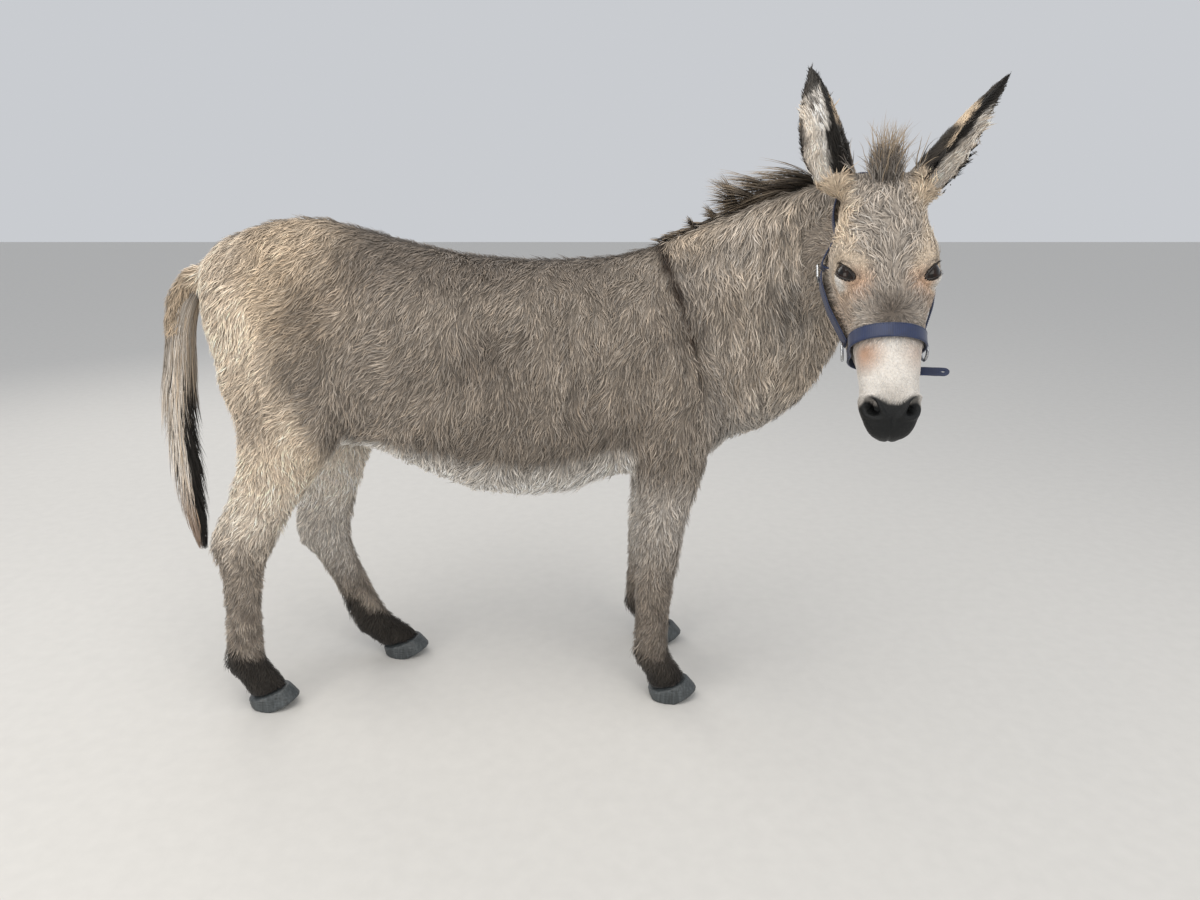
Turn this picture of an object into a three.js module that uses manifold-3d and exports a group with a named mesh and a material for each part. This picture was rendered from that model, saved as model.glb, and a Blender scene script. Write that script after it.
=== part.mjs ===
// A standing donkey in a webbing headcollar, life size, as a still museum model.
// Millimetres. +X is the way the body faces, +Y its left side, +Z up. The soles stand at z = 0.
import * as THREE from "three";
import { mergeVertices } from "three/addons/utils/BufferGeometryUtils.js";
import Module from "manifold-3d";

const wasm = await Module();
wasm.setup();

// ---- Driving dimensions ----
const GAP = 0.3; // clearance between pieces that touch
const WITHERS = 966; // height of the back above the forelegs
const BACK = 946; // height of the dip behind the withers
const CROUP = 1032; // height of the rump, the highest point of the back
const DOCK = 925; // height of the tail's root
const BELLY = 440; // lowest point of the belly
const GIRTH = 492; // underside between the elbows
const FLANK = 545; // underside in front of the stifles
const BARREL_HALF = 205; // half the widest width of the belly
const RUMP_HALF = 172; // half the width across the hips
const BREAST = 296; // foremost point of the breast, along X
const BUTTOCK = -802; // hindmost point of the rump, along X

const HOOF_LENGTH = 104; // toe to heel at the sole
const HOOF_WIDTH = 80;
const HOOF_TOE_HEIGHT = 50; // height of the coronet at the toe
const HOOF_HEEL_HEIGHT = 26; // height of the coronet at the heel
const HOOF_SLOPE = 30; // how far the coronet lies behind the sole

const HEAD_PLACE = new THREE.Vector3(485, -248, 1106); // the poll, between the ears
const HEAD_LENGTH = 458; // poll to upper lip
const HEAD_WIDTH = 250; // room for the ears' roots
const HEAD_PITCH = 56; // degrees that the face slopes below level
const HEAD_YAW = 5; // degrees that the face turns back from the body's right side
const HEAD_ROLL = 1.5; // degrees that the left eye stands above the right
const EYE_RADIUS = 23;
const EYE_AT = new THREE.Vector3(183, 60, -25); // the left eyeball's centre, in the head's frame
const LID_HALF_LENGTH = 22; // half the opening between the lids
const LID_HALF_HEIGHT = 13.5;
const NOSTRIL_AT = new THREE.Vector3(412, 33, -34); // the left nostril, in the head's frame
const EAR_LENGTH = 230;
const EAR_HALF = 43; // half the ear's greatest width
const EAR_WALL = 7; // thickness of the ear with its coat
const EAR_STUB = 16; // length of the ear's root that stays on the head

const TAIL_BREAK = 650; // height where the fleshy dock ends and the long hair goes on alone
const TAIL_TIP = 312;
const MANE_HEIGHT = 44; // how far the mane stands above the crest
const MANE_HALF = 15; // half its thickness
const FORELOCK_LENGTH = 98;

const WEBBING_WIDTH = 25;
const WEBBING_IN = 1.2; // the strap's inner face above the coat
const WEBBING_OUT = 4.4; // the strap's outer face above the coat
const NOSEBAND_AT = 292; // distance of the noseband from the poll along the head
const CHEEK_RING_AT = new THREE.Vector3(292, 0, -94); // where cheek strap meets noseband, seen from the side
const BUCKLE_AT = new THREE.Vector3(128, 0, -122); // where crown strap meets cheek strap
const NAPE_AT = new THREE.Vector3(-84, 0, -79); // where the crown strap crosses behind the ears
const RING_RADIUS = 15;
const WIRE_RADIUS = 2.6; // of the headcollar's rings and buckles
const RING_LIFT = 68; // distance of the cheek rings from the head's middle plane
const BUCKLE_LIFT = 102; // and of the buckles
const SPARE_AT = new THREE.Vector3(318, 44, -112); // where the spare strap end starts, in the head's frame
const SPARE_LENGTH = 66;
const SPARE_WIDTH = 21;
const EYELET_RADIUS = 3;

// Where the body is parted
const NECK_CUT = new THREE.Vector3(200, 0, 787);
const HIND_PART = { front: -420, rear: -1000, top: 540, inner: 14, slope: 23 };
const FORE_PART = { front: 330, rear: 40, top: 545, inner: 30, slope: 0 };

const UP = new THREE.Vector3(0, 0, 1);
const FORWARD = new THREE.Vector3(1, 0, 0);
const degrees = THREE.MathUtils.degToRad;

// ---- Shape tools ----

/**
 * A closed body swept through stations, each [x, y, z, above, below, half, roof, keel]: the ring's centre, its
 * reach above, below and to each side of it, and how pointed its upper and lower halves are. 1 is an ellipse,
 * more is a ridge and less is a box. The rings stand across the path, or all across `heading` if it is given,
 * with `up` as their upright, and `grow` enlarges them all round.
 */
function sweep(stations, { up = UP, sides = 16, ringsPerStation = 1, grow = 0, heading = null }) {
  const curves = [0, 3, 6].map((first) => new THREE.CatmullRomCurve3(
    stations.map((s) => new THREE.Vector3(s[first] ?? 1, s[first + 1] ?? 1, s[first + 2] ?? 1)),
  ));
  const rings = (stations.length - 1) * ringsPerStation;
  const geometry = new THREE.CylinderGeometry(1, 1, 1, sides, rings, false);
  const points = geometry.attributes.position;
  for (let i = 0; i < points.count; i += 1) {
    const along = 0.5 - points.getY(i);
    const [centre, reach, form] = curves.map((curve) => curve.getPoint(along));
    const facing = heading ?? curves[0].getTangent(along);
    const side = new THREE.Vector3().crossVectors(up, facing).normalize();
    const upright = new THREE.Vector3().crossVectors(facing, side);
    const across = points.getX(i);
    const high = points.getZ(i);
    const power = high > 0 ? form.x : form.y;
    const width = Math.sign(across) * Math.abs(across) ** power * (reach.z + grow);
    const height = high * ((high > 0 ? reach.x : reach.y) + grow);
    const place = centre.addScaledVector(side, width).addScaledVector(upright, height);
    points.setXYZ(i, place.x, place.y, place.z);
  }
  return geometry;
}

const FINEST = 0.03; // edges shorter than this close up when bodies are joined or cut

/** A three.js geometry as a solid, for joining and cutting. */
function solid(geometry, frame = new THREE.Matrix4()) {
  const bare = geometry.clone().applyMatrix4(frame);
  bare.deleteAttribute("normal");
  bare.deleteAttribute("uv");
  const merged = mergeVertices(bare, 1e-3);
  return new wasm.Manifold(new wasm.Mesh({
    numProp: 3,
    vertProperties: new Float32Array(merged.attributes.position.array),
    triVerts: new Uint32Array(merged.index.array),
    tolerance: FINEST,
  }));
}

/** A solid as a three.js geometry. */
function geometryOf(body) {
  const mesh = body.getMesh();
  const geometry = new THREE.BufferGeometry();
  geometry.setAttribute("position", new THREE.BufferAttribute(mesh.vertProperties, 3));
  geometry.setIndex(new THREE.BufferAttribute(mesh.triVerts, 1));
  geometry.computeVertexNormals();
  return geometry;
}

/** A block of the given size, centred in a frame. */
function block(size, frame) {
  return solid(new THREE.BoxGeometry(...size), frame);
}

/** A ball, or an egg where its three radii differ, in a frame. */
function egg(radii, at, frame, segments = 8) {
  const geometry = new THREE.SphereGeometry(1, segments, segments / 2);
  return solid(geometry.scale(...radii).translate(at.x, at.y, at.z), frame);
}

/** The frame at a place whose own +X points along a direction, with `up` kept upright. */
function frameAt(place, direction, up = UP) {
  const x = direction.clone().normalize();
  const y = new THREE.Vector3().crossVectors(up, x).normalize();
  const z = new THREE.Vector3().crossVectors(x, y);
  return new THREE.Matrix4().makeBasis(x, y, z).setPosition(place);
}

const REACH = 3000; // longer than anything a cut has to pass through

/** Everything ahead of the flat face through a place, along a direction. */
function ahead(place, direction, back = 0) {
  const frame = frameAt(place, direction, Math.abs(direction.z) > 0.9 ? FORWARD : UP);
  const shift = new THREE.Matrix4().makeTranslation(REACH / 2 - back, 0, 0);
  return block([REACH, REACH, REACH], frame.multiply(shift));
}

const union = (bodies) => bodies.reduce((whole, next) => whole.add(next));

/** The largest piece of a cut body, without the crumbs that a cut can leave. */
const largest = (body) => body.decompose().sort((a, b) => b.volume() - a.volume())[0];

/** Parts a body by a cutting tool made for a clearance: [what the tool takes, what is left beyond the gap]. */
function part(body, tool) {
  return [body.intersect(tool(0)), body.subtract(tool(GAP))].map(largest);
}

// ---- Trunk and neck ----

function trunk(grow = 0) {
  return solid(sweep([
    [BUTTOCK, 0, 870, 66, 60, 46, 1, 1],
    [BUTTOCK + 14, 0, 850, 106, 110, 88, 1.1, 1],
    [BUTTOCK + 38, 0, 838, 142, 150, 118, 1.2, 1],
    [-720, 0, 820, 180, 195, 146, 1.25, 1],
    [-650, 0, 800, 222, 215, 164, 1.3, 1],
    [-560, 0, 780, CROUP - 782, 225, RUMP_HALF, 1.25, 1],
    [-470, 0, 750, 256, 750 - FLANK, 180, 1.15, 0.95],
    [-370, 0, 715, 262, 218, 192, 1, 0.9],
    [-260, 0, 690, 264, 240, 202, 0.95, 0.88],
    [-150, 0, 682, BACK - 684, 682 - BELLY, BARREL_HALF, 0.95, 0.88],
    [-60, 0, 688, BACK - 688, 238, 200, 1, 0.9],
    [30, 0, 700, 250, 216, 184, 1.2, 0.95],
    [120, 0, 715, WITHERS - 715, 715 - GIRTH, 165, 1.4, 1],
    [190, 0, 715, 225, 205, 145, 1.3, 1],
    [250, 0, 700, 160, 165, 118, 1.1, 1],
    [BREAST - 12, 0, 690, 90, 108, 84, 1, 1],
    [BREAST, 0, 682, 40, 55, 45, 1, 1],
  ], { sides: 18, heading: FORWARD, grow }));
}

const NECK = [
  [20, 0, 735, 215, 200, 110, 1.5, 1],
  [120, 2, 760, 212, 228, 118, 1.5, 0.95],
  [215, 0, 800, 202, 254, 114, 1.4, 0.95],
  [300, -14, 855, 188, 236, 102, 1.3, 0.9],
  [372, -42, 908, 170, 184, 90, 1.2, 0.9],
  [428, -82, 955, 148, 134, 80, 1.1, 0.9],
  [466, -124, 994, 120, 112, 72, 1, 0.9],
  [488, -164, 1022, 90, 86, 52, 1, 1],
  [504, -226, 1052, 40, 56, 34, 1, 1],
];

function neck(grow = 0) {
  return solid(sweep(NECK, { sides: 18, grow }));
}

/** The upright hair along the crest, from the withers to the ears, thin and leaning to the far side. */
function mane() {
  const path = new THREE.CatmullRomCurve3(NECK.map(([x, y, z]) => new THREE.Vector3(x, y, z)));
  const heights = [0.3, 0.85, 1, 1, 0.8].map((share) => share * MANE_HEIGHT);
  const stations = NECK.slice(2, -2).map(([x, y, z, above], index) => {
    const tangent = path.getTangent((index + 2) / (NECK.length - 1));
    const side = new THREE.Vector3().crossVectors(UP, tangent).normalize();
    const upright = new THREE.Vector3().crossVectors(tangent, side);
    const height = heights[index];
    const middle = new THREE.Vector3(x, y, z).addScaledVector(upright, above + height * 0.3);
    middle.addScaledVector(side, MANE_HALF * 0.3);
    return [...middle.toArray(), height * 0.7, height * 0.7, MANE_HALF, 1, 1];
  });
  return solid(sweep(stations, { sides: 8, ringsPerStation: 2 }))
    .subtract(union([neck(GAP), trunk(GAP), skull(GAP)]));
}

/** The tail, from inside the rump to the tip of its hair. */
function tail() {
  return solid(sweep([
    [-786, 0, DOCK - 20, 32, 32, 30],
    [-828, 0, DOCK - 29, 34, 34, 28],
    [-862, 0, DOCK - 75, 30, 32, 25],
    [-873, 0, 760, 36, 37, 27],
    [-886, 0, 660, 40, 42, 31],
    [-893, 0, 560, 42, 43, 33],
    [-890, 0, 450, 38, 40, 31],
    [-885, 0, 370, 26, 28, 22],
    [-880, 0, TAIL_TIP + 4, 9, 9, 8],
    [-880, 0, TAIL_TIP, 3, 3, 3],
  ], { up: FORWARD, sides: 10 }));
}

// ---- Legs ----

/** A point on a chain of joints: 1.5 is halfway from joint 1 to joint 2. */
function onChain(joints, share) {
  const first = Math.min(Math.floor(share), joints.length - 2);
  return new THREE.Vector3(...joints[first]).lerp(new THREE.Vector3(...joints[first + 1]), share - first);
}

/** A leg along a chain of joints, with rows of [share along the chain, reach to the front, to the back, half]. */
function leg(joints, girths) {
  const stations = girths.map(([share, front, back, half]) => [
    ...onChain(joints, share).toArray(), front, back, half,
  ]);
  return solid(sweep(stations, { up: FORWARD, sides: 10 }));
}

// Hip, stifle, hock, fetlock and coronet
const HIND_JOINTS = {
  right: [[-610, -88, 850], [-622, -105, 620], [-738, -128, 372], [-757, -136, 104], [-718, -136, 40]],
  left: [[-615, 88, 850], [-584, 105, 610], [-642, 98, 322], [-540, 88, 84], [-478, 86, 34]],
};
const HIND_GIRTHS = [
  [0, 120, 125, 60], [0.35, 150, 152, 84], [0.75, 140, 150, 82], [1.1, 110, 105, 70], [1.4, 86, 72, 58],
  [1.72, 70, 62, 46], [1.95, 68, 72, 42], [2.08, 60, 72, 40], [2.24, 45, 50, 34], [2.5, 38, 42, 30],
  [2.8, 39, 42, 30], [3, 42, 46, 35], [3.5, 38, 38, 33], [4, 42, 42, 36], [4.6, 40, 40, 35],
];
// Shoulder, elbow, knee, fetlock and coronet
const FORE_JOINTS = {
  right: [[120, -84, 800], [148, -100, 560], [118, -104, 300], [112, -104, 106], [146, -104, 40]],
  left: [[120, 84, 800], [138, 108, 560], [108, 140, 300], [102, 150, 106], [134, 150, 40]],
};
const FORE_GIRTHS = [
  [0, 100, 90, 52], [0.4, 118, 100, 68], [0.85, 100, 90, 66], [1.15, 74, 76, 54], [1.5, 56, 58, 44],
  [1.8, 50, 50, 38], [1.97, 48, 46, 38], [2.2, 40, 44, 32], [2.5, 36, 42, 28], [2.8, 36, 42, 28],
  [3, 38, 44, 33], [3.5, 36, 36, 32], [4, 42, 42, 36], [4.6, 40, 40, 35],
];

// ---- Hooves ----

/** The frame of a hoof: on the floor under the coronet, at the middle of the sole. */
function hoofPlace(joints) {
  const [x, y] = joints[joints.length - 1];
  return new THREE.Vector3(x + HOOF_SLOPE * 0.55, y, 0);
}

/** The tilted plane where hair meets horn, as everything below it by `lower`. */
function belowCoronet(joints, lower) {
  const tilt = Math.atan2(HOOF_TOE_HEIGHT - HOOF_HEEL_HEIGHT, HOOF_LENGTH * 0.8);
  const place = hoofPlace(joints).setZ((HOOF_TOE_HEIGHT + HOOF_HEEL_HEIGHT) / 2 - lower);
  const size = HOOF_LENGTH * 1.8;
  const frame = new THREE.Matrix4().makeRotationY(-tilt).setPosition(place);
  return block([size, size, size], frame.multiply(new THREE.Matrix4().makeTranslation(0, 0, -size / 2)));
}

/** The horn of a hoof, wider at the sole, with a round toe and a square heel, cut off under the coronet. */
function hoof(joints) {
  const top = HOOF_TOE_HEIGHT * 1.3;
  const horn = sweep([
    [0, 0, 0, HOOF_LENGTH * 0.52, HOOF_LENGTH * 0.46, HOOF_WIDTH / 2, 1, 0.7],
    [-HOOF_SLOPE * 0.32, 0, top * 0.35, HOOF_LENGTH * 0.48, HOOF_LENGTH * 0.45, HOOF_WIDTH * 0.48, 1, 0.7],
    [-HOOF_SLOPE * 0.62, 0, top * 0.7, HOOF_LENGTH * 0.43, HOOF_LENGTH * 0.42, HOOF_WIDTH * 0.45, 1, 0.8],
    [-HOOF_SLOPE * 0.95, 0, top, HOOF_LENGTH * 0.39, HOOF_LENGTH * 0.38, HOOF_WIDTH * 0.42, 1, 0.8],
  ], { up: FORWARD, sides: 16 });
  const place = hoofPlace(joints);
  const frame = new THREE.Matrix4().makeTranslation(place.x, place.y, 0);
  const standing = solid(horn, frame).subtract(ahead(new THREE.Vector3(0, 0, 0), UP.clone().negate()));
  return standing.intersect(belowCoronet(joints, GAP));
}

// ---- Head, in its own frame: +X from the poll to the muzzle, +Y the left side, +Z out of the face ----

const headMatrix = (() => {
  const level = new THREE.Vector3(-Math.sin(degrees(HEAD_YAW)), -Math.cos(degrees(HEAD_YAW)), 0);
  const pitch = degrees(HEAD_PITCH);
  const down = level.clone().multiplyScalar(Math.cos(pitch)).setZ(-Math.sin(pitch));
  const upright = UP.clone().applyAxisAngle(level, degrees(HEAD_ROLL));
  return frameAt(HEAD_PLACE, down, upright);
})();

/** A body swept along the head, with rows of [share of the head's length, z, above, below, half, roof, keel]. */
function headSweep(rows, sides, grow) {
  const stations = rows.map(([share, z, ...reach]) => [share * HEAD_LENGTH, 0, z, ...reach]);
  return solid(sweep(stations, { sides, heading: FORWARD, grow }), headMatrix);
}

function skull(grow) {
  return headSweep([
    [-0.07, -62, 28, 38, 30],
    [-0.045, -60, 48, 55, 50],
    [0.02, -58, 62, 66, 62, 1, 0.95],
    [0.12, -56, 66, 74, 76, 0.95, 0.95],
    [0.22, -52, 66, 78, 86, 0.9, 0.95],
    [0.31, -48, 62, 80, 95, 0.9, 0.95],
    [0.385, -46, 56, 78, 94, 0.95, 0.95],
    [0.46, -48, 52, 72, 82, 0.95, 0.9],
    [0.545, -50, 49, 66, 68, 0.95, 0.9],
    [0.635, -52, 46, 58, 59, 0.95, 0.9],
    [0.73, -54, 43, 52, 54, 0.95, 0.9],
    [0.81, -56, 40, 48, 48, 0.9, 0.9],
    [0.87, -58, 39, 44, 50, 0.85, 0.9],
    [0.93, -62, 33, 38, 46, 0.85, 0.9],
    [0.978, -68, 22, 30, 36, 0.9, 0.9],
    [1, -72, 10, 16, 18],
  ], 18, grow);
}

function jaw(grow) {
  return headSweep([
    [0.09, -118, 34, 34, 38],
    [0.14, -125, 54, 54, 72, 1, 0.8],
    [0.235, -132, 62, 70, 94, 1, 0.75],
    [0.34, -134, 62, 74, 98, 1, 0.72],
    [0.45, -126, 56, 66, 89, 1, 0.75],
    [0.565, -114, 50, 50, 68, 1, 0.85],
    [0.69, -104, 42, 36, 45, 1, 0.9],
    [0.8, -98, 34, 32, 36, 1, 0.9],
    [0.88, -97, 28, 31, 34, 1, 0.9],
    [0.935, -98, 22, 26, 27, 1, 0.9],
    [0.96, -100, 10, 14, 14],
  ], 14, grow);
}

/** The bony ridges over the eyes. */
function brows() {
  return [-1, 1].map((side) => egg([38, 15, 14], new THREE.Vector3(152, side * 70, -10), headMatrix));
}

// ---- Ears ----

const EARS = {
  right: { base: [6, -64, -34], tip: [-210, -121, 7], open: [0.3, -0.6, 0.75], bow: 20 },
  left: { base: [2, 52, -34], tip: [-156, 203, 38], open: [0.6, 0.65, 0.35], bow: 9 },
};

/** The frame of an ear: +X from root to tip, +Z out of its hollow, starting `along` the ear. */
function earFrame({ base, tip, open }, along = 0) {
  const foot = new THREE.Vector3(...base);
  const rise = new THREE.Vector3(...tip).sub(foot).normalize();
  const place = foot.addScaledVector(rise, along);
  return headMatrix.clone().multiply(frameAt(place, rise, new THREE.Vector3(...open)));
}

/** A leaf-shaped ear, curled round a hollow that looks along `open` and bowed that way by `bow`. */
function ear(shape, grow = 0) {
  const sides = 16;
  const rings = 8;
  const leaf = new THREE.CylinderGeometry(1, 1, 1, sides, rings, false);
  const points = leaf.attributes.position;
  for (let i = 0; i < points.count; i += 1) {
    const t = 0.5 - points.getY(i);
    const radius = Math.hypot(points.getX(i), points.getZ(i));
    const turn = Math.atan2(points.getX(i), points.getZ(i)); // 0 faces the hollow
    const half = EAR_HALF * (0.8 + 0.9 * t - 1.2 * t * t) * Math.sqrt(Math.max(1 - t ** 4, 0.04));
    const curl = degrees(THREE.MathUtils.lerp(150, 62, Math.sqrt(t)));
    const round = half / Math.min(Math.sin(Math.min(curl, Math.PI / 2)), 1);
    const outside = Math.abs(turn) > Math.PI / 2 + 1e-6; // the rim counts as inside
    const share = outside ? (Math.PI - Math.abs(turn)) / (Math.PI / 2) : Math.abs(turn) / (Math.PI / 2);
    const angle = Math.sign(turn || 1) * share * (curl + 2.5 * grow / round);
    const wall = Math.min(EAR_WALL, half * 0.7) * (outside ? 0 : 1) * (1 - 0.75 * share ** 3);
    const r = (round - wall + (outside ? grow : grow * (1.6 * share ** 3 - 1))) * radius;
    const middle = shape.bow * Math.sin(Math.PI * t) + round * 0.55;
    points.setXYZ(i, t * EAR_LENGTH, r * Math.sin(angle), middle - r * Math.cos(angle));
  }
  return solid(leaf, earFrame(shape));
}

/** The block that holds an ear but not its root. */
function earBlock(shape, grow) {
  const beyond = new THREE.Matrix4().makeTranslation(EAR_LENGTH, 0, 0);
  const size = [2 * EAR_LENGTH, EAR_LENGTH, EAR_LENGTH].map((value) => value + 2 * grow);
  return block(size, earFrame(shape, EAR_STUB).multiply(beyond));
}

/** The rounded root that an ear stands on. */
function earRoot(shape) {
  const reach = EAR_HALF * 0.84;
  const knob = egg([EAR_HALF, reach, reach], new THREE.Vector3(0, 0, EAR_HALF * 0.47), earFrame(shape, EAR_STUB), 14);
  return knob.subtract(earBlock(shape, GAP));
}

/** The tuft that stands up between the ears. */
function forelock() {
  const rise = UP.clone().transformDirection(headMatrix.clone().invert());
  const rows = [[0.1, 13, 30], [0.35, 15, 34], [0.65, 12, 27], [0.9, 7, 15], [1, 3, 5]];
  const stations = rows.map(([share, thick, half]) => [
    ...new THREE.Vector3(2, -4, -4).addScaledVector(rise, share * FORELOCK_LENGTH).toArray(), thick, thick, half,
  ]);
  return solid(sweep(stations, { sides: 10 }), headMatrix)
    .subtract(skull(GAP));
}

// ---- Eyes and nostrils ----

/** The place on either side of the head of a point given for its left side. */
const onSide = (point, side) => new THREE.Vector3(point.x, side * point.y, point.z);

function eyeball(side, grow) {
  return egg([EYE_RADIUS + grow, EYE_RADIUS + grow, EYE_RADIUS + grow], onSide(EYE_AT, side), headMatrix, 12);
}

/** The lens-shaped opening between the lids, level when the head hangs at its slope. */
function lidOpening(side) {
  const gaze = new THREE.Vector3(0.1, side * 0.72, 0.68);
  const frame = frameAt(onSide(EYE_AT, side), gaze);
  const spin = new THREE.Matrix4().makeRotationX(degrees(90 + side * 52));
  const lens = new THREE.SphereGeometry(1, 10, 4);
  lens.scale(EYE_RADIUS * 0.6, LID_HALF_LENGTH, LID_HALF_HEIGHT).translate(EYE_RADIUS, 0, 0);
  return solid(lens, headMatrix.clone().multiply(frame).multiply(spin));
}

function nostril(side) {
  const hole = new THREE.SphereGeometry(1, 8, 4).scale(15, 8, 13).rotateZ(side * degrees(-24));
  return solid(hole.translate(...onSide(NOSTRIL_AT, side).toArray()), headMatrix);
}

// ---- Headcollar ----

/** The coat's surface where the headcollar lies, enlarged all round. */
const headAndNape = (grow) => union([skull(grow), jaw(grow), neck(grow)]);

/** The box that a strap fills between two points of the head's side view, on one side (1 left, -1 right) or both. */
function strapBox(from, to, side, grow = 0) {
  const along = to.clone().sub(from);
  const place = from.clone().lerp(to, 0.5).setY(side * HEAD_LENGTH / 4);
  const size = [along.length(), HEAD_LENGTH / (side ? 2 : 1), WEBBING_WIDTH].map((value) => value + 2 * grow);
  return block(size, headMatrix.clone().multiply(frameAt(place, along)));
}

/** The slab that the noseband fills, square to the nose. */
function nosebandBox(grow = 0) {
  const size = [WEBBING_WIDTH + 2 * grow, HEAD_LENGTH, HEAD_LENGTH];
  return block(size, headMatrix.clone().multiply(new THREE.Matrix4().makeTranslation(NOSEBAND_AT, 0, 0)));
}

/** A wire ring, or a buckle's frame where it has four corners, standing off the cheek over the webbing. */
function wireLoop(at, side, lift, corners, clear) {
  const wire = new THREE.TorusGeometry(RING_RADIUS, WIRE_RADIUS, 6, corners);
  wire.rotateZ(Math.PI / corners).rotateX(Math.PI / 2).rotateX(side * degrees(-8));
  return solid(wire.translate(at.x, side * lift, at.z), headMatrix).subtract(clear);
}

/** The ring that hangs under the noseband. */
function chinRing() {
  const wire = new THREE.TorusGeometry(RING_RADIUS, WIRE_RADIUS, 6, 12).rotateY(Math.PI / 2);
  return solid(wire.translate(NOSEBAND_AT, 0, -172), headMatrix);
}

/** The spare end of the noseband's webbing, with its eyelet, standing out on the left. */
function strapEnd() {
  const outline = new THREE.Shape();
  const half = SPARE_WIDTH / 2;
  outline.moveTo(0, -half).lineTo(SPARE_LENGTH - half, -half);
  outline.absarc(SPARE_LENGTH - half, 0, half, -Math.PI / 2, Math.PI / 2, false);
  outline.lineTo(0, half).closePath();
  outline.holes.push(new THREE.Path().absarc(SPARE_LENGTH - half, 0, EYELET_RADIUS, 0, 2 * Math.PI, true));
  const depth = WEBBING_OUT - WEBBING_IN;
  const strip = new THREE.ExtrudeGeometry(outline, { depth, bevelEnabled: false, curveSegments: 5 });
  const frame = frameAt(SPARE_AT, new THREE.Vector3(0.12, 0.95, 0.2), new THREE.Vector3(1, 0, 0.6));
  const standing = solid(strip.rotateX(Math.PI / 2), headMatrix.clone().multiply(frame));
  return standing.subtract(union([skull(GAP), jaw(GAP)]));
}

// ---- Whole body, then parted ----

const COLOURS = {
  coat: { color: 0x8d8076, roughness: 0.95 },
  hair: { color: 0x4a4038, roughness: 0.9 },
  horn: { color: 0x55575a, roughness: 0.45 },
  eye: { color: 0x1d120c, roughness: 0.1 },
  webbing: { color: 0x232c48, roughness: 0.8 },
  metal: { color: 0xb9bcc0, roughness: 0.3, metalness: 1 },
};
const donkey = new THREE.Group();

function add(name, body, look) {
  const material = new THREE.MeshStandardMaterial({ metalness: 0, ...COLOURS[look] });
  const mesh = new THREE.Mesh(geometryOf(largest(solid(geometryOf(body)))), material);
  mesh.name = name;
  donkey.add(mesh);
}

/** An upright block between two corners, as a cutting tool. */
function between(low, high) {
  const size = high.map((value, axis) => value - low[axis]);
  const middle = new THREE.Matrix4().setPosition(...high.map((value, axis) => (value + low[axis]) / 2));
  return (gap) => block(size.map((value) => value + 2 * gap), middle);
}

/** The space round a whole leg, under a plane that rises to the rear, as a cutting tool. */
function legTool(side, { front, rear, top, inner, slope }) {
  const outer = REACH / 4;
  const [low, high] = side > 0 ? [inner, outer] : [-outer, -inner];
  const column = between([rear, low, -REACH], [front, high, REACH]);
  const down = new THREE.Vector3(-Math.sin(degrees(slope)), 0, -Math.cos(degrees(slope)));
  return (gap) => column(gap).intersect(ahead(new THREE.Vector3(front, 0, top), down, gap));
}

/** The block round the head: behind the ears and jaw, and over the throat. */
function headBlock(gap) {
  const frame = frameAt(new THREE.Vector3(-2, 0, -100), new THREE.Vector3(0.975, 0, 0.22));
  const middle = new THREE.Matrix4().makeTranslation(HEAD_LENGTH, 0, HEAD_LENGTH / 2 - 150);
  const size = [2 * HEAD_LENGTH, HEAD_WIDTH, HEAD_LENGTH].map((value) => value + 2 * gap);
  return block(size, headMatrix.clone().multiply(frame).multiply(middle));
}

const SIDES = { right: -1, left: 1 };

let flesh = union([
  trunk(), neck(), skull(0), jaw(0), tail(), ...brows(),
  ...Object.values(EARS).map(earRoot),
  ...Object.values(HIND_JOINTS).map((joints) => leg(joints, HIND_GIRTHS)),
  ...Object.values(FORE_JOINTS).map((joints) => leg(joints, FORE_GIRTHS)),
]);

for (const [end, sides] of Object.entries({ hind: HIND_JOINTS, fore: FORE_JOINTS })) {
  for (const [side, joints] of Object.entries(sides)) {
    flesh = flesh.subtract(belowCoronet(joints, 0));
    add(`hoof_${end}_${side}`, hoof(joints), "horn");
  }
}
for (const [name, side] of Object.entries(SIDES)) {
  flesh = flesh.subtract(union([eyeball(side, GAP), lidOpening(side), nostril(side)]));
  add(`eye_${name}`, eyeball(side, 0), "eye");
}
for (const [name, shape] of Object.entries(EARS)) {
  const standing = ear(shape).intersect(earBlock(shape, 0));
  add(`ear_${name}`, standing.subtract(union([skull(GAP), neck(GAP)])), "coat");
}
const cuts = [
  ["head", headBlock],
  ["neck", (gap) => ahead(NECK_CUT, new THREE.Vector3(0.9, 0, 0.43), gap)],
  ["tail_switch", between([-1000, -90, 0], [-800, 90, TAIL_BREAK])],
  ["tail_dock", between([-1000, -90, TAIL_BREAK], [BUTTOCK - 4, 90, 1000])],
];
for (const [name, side] of Object.entries(SIDES)) {
  cuts.push([`hindleg_${name}`, legTool(side, HIND_PART)], [`foreleg_${name}`, legTool(side, FORE_PART)]);
}
for (const [name, tool] of cuts) {
  const [piece, rest] = part(flesh, tool);
  add(name, piece, name === "tail_switch" ? "hair" : "coat");
  flesh = rest;
}
add("trunk", flesh, "coat");

add("mane", mane(), "hair");
add("forelock", forelock(), "hair");

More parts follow.
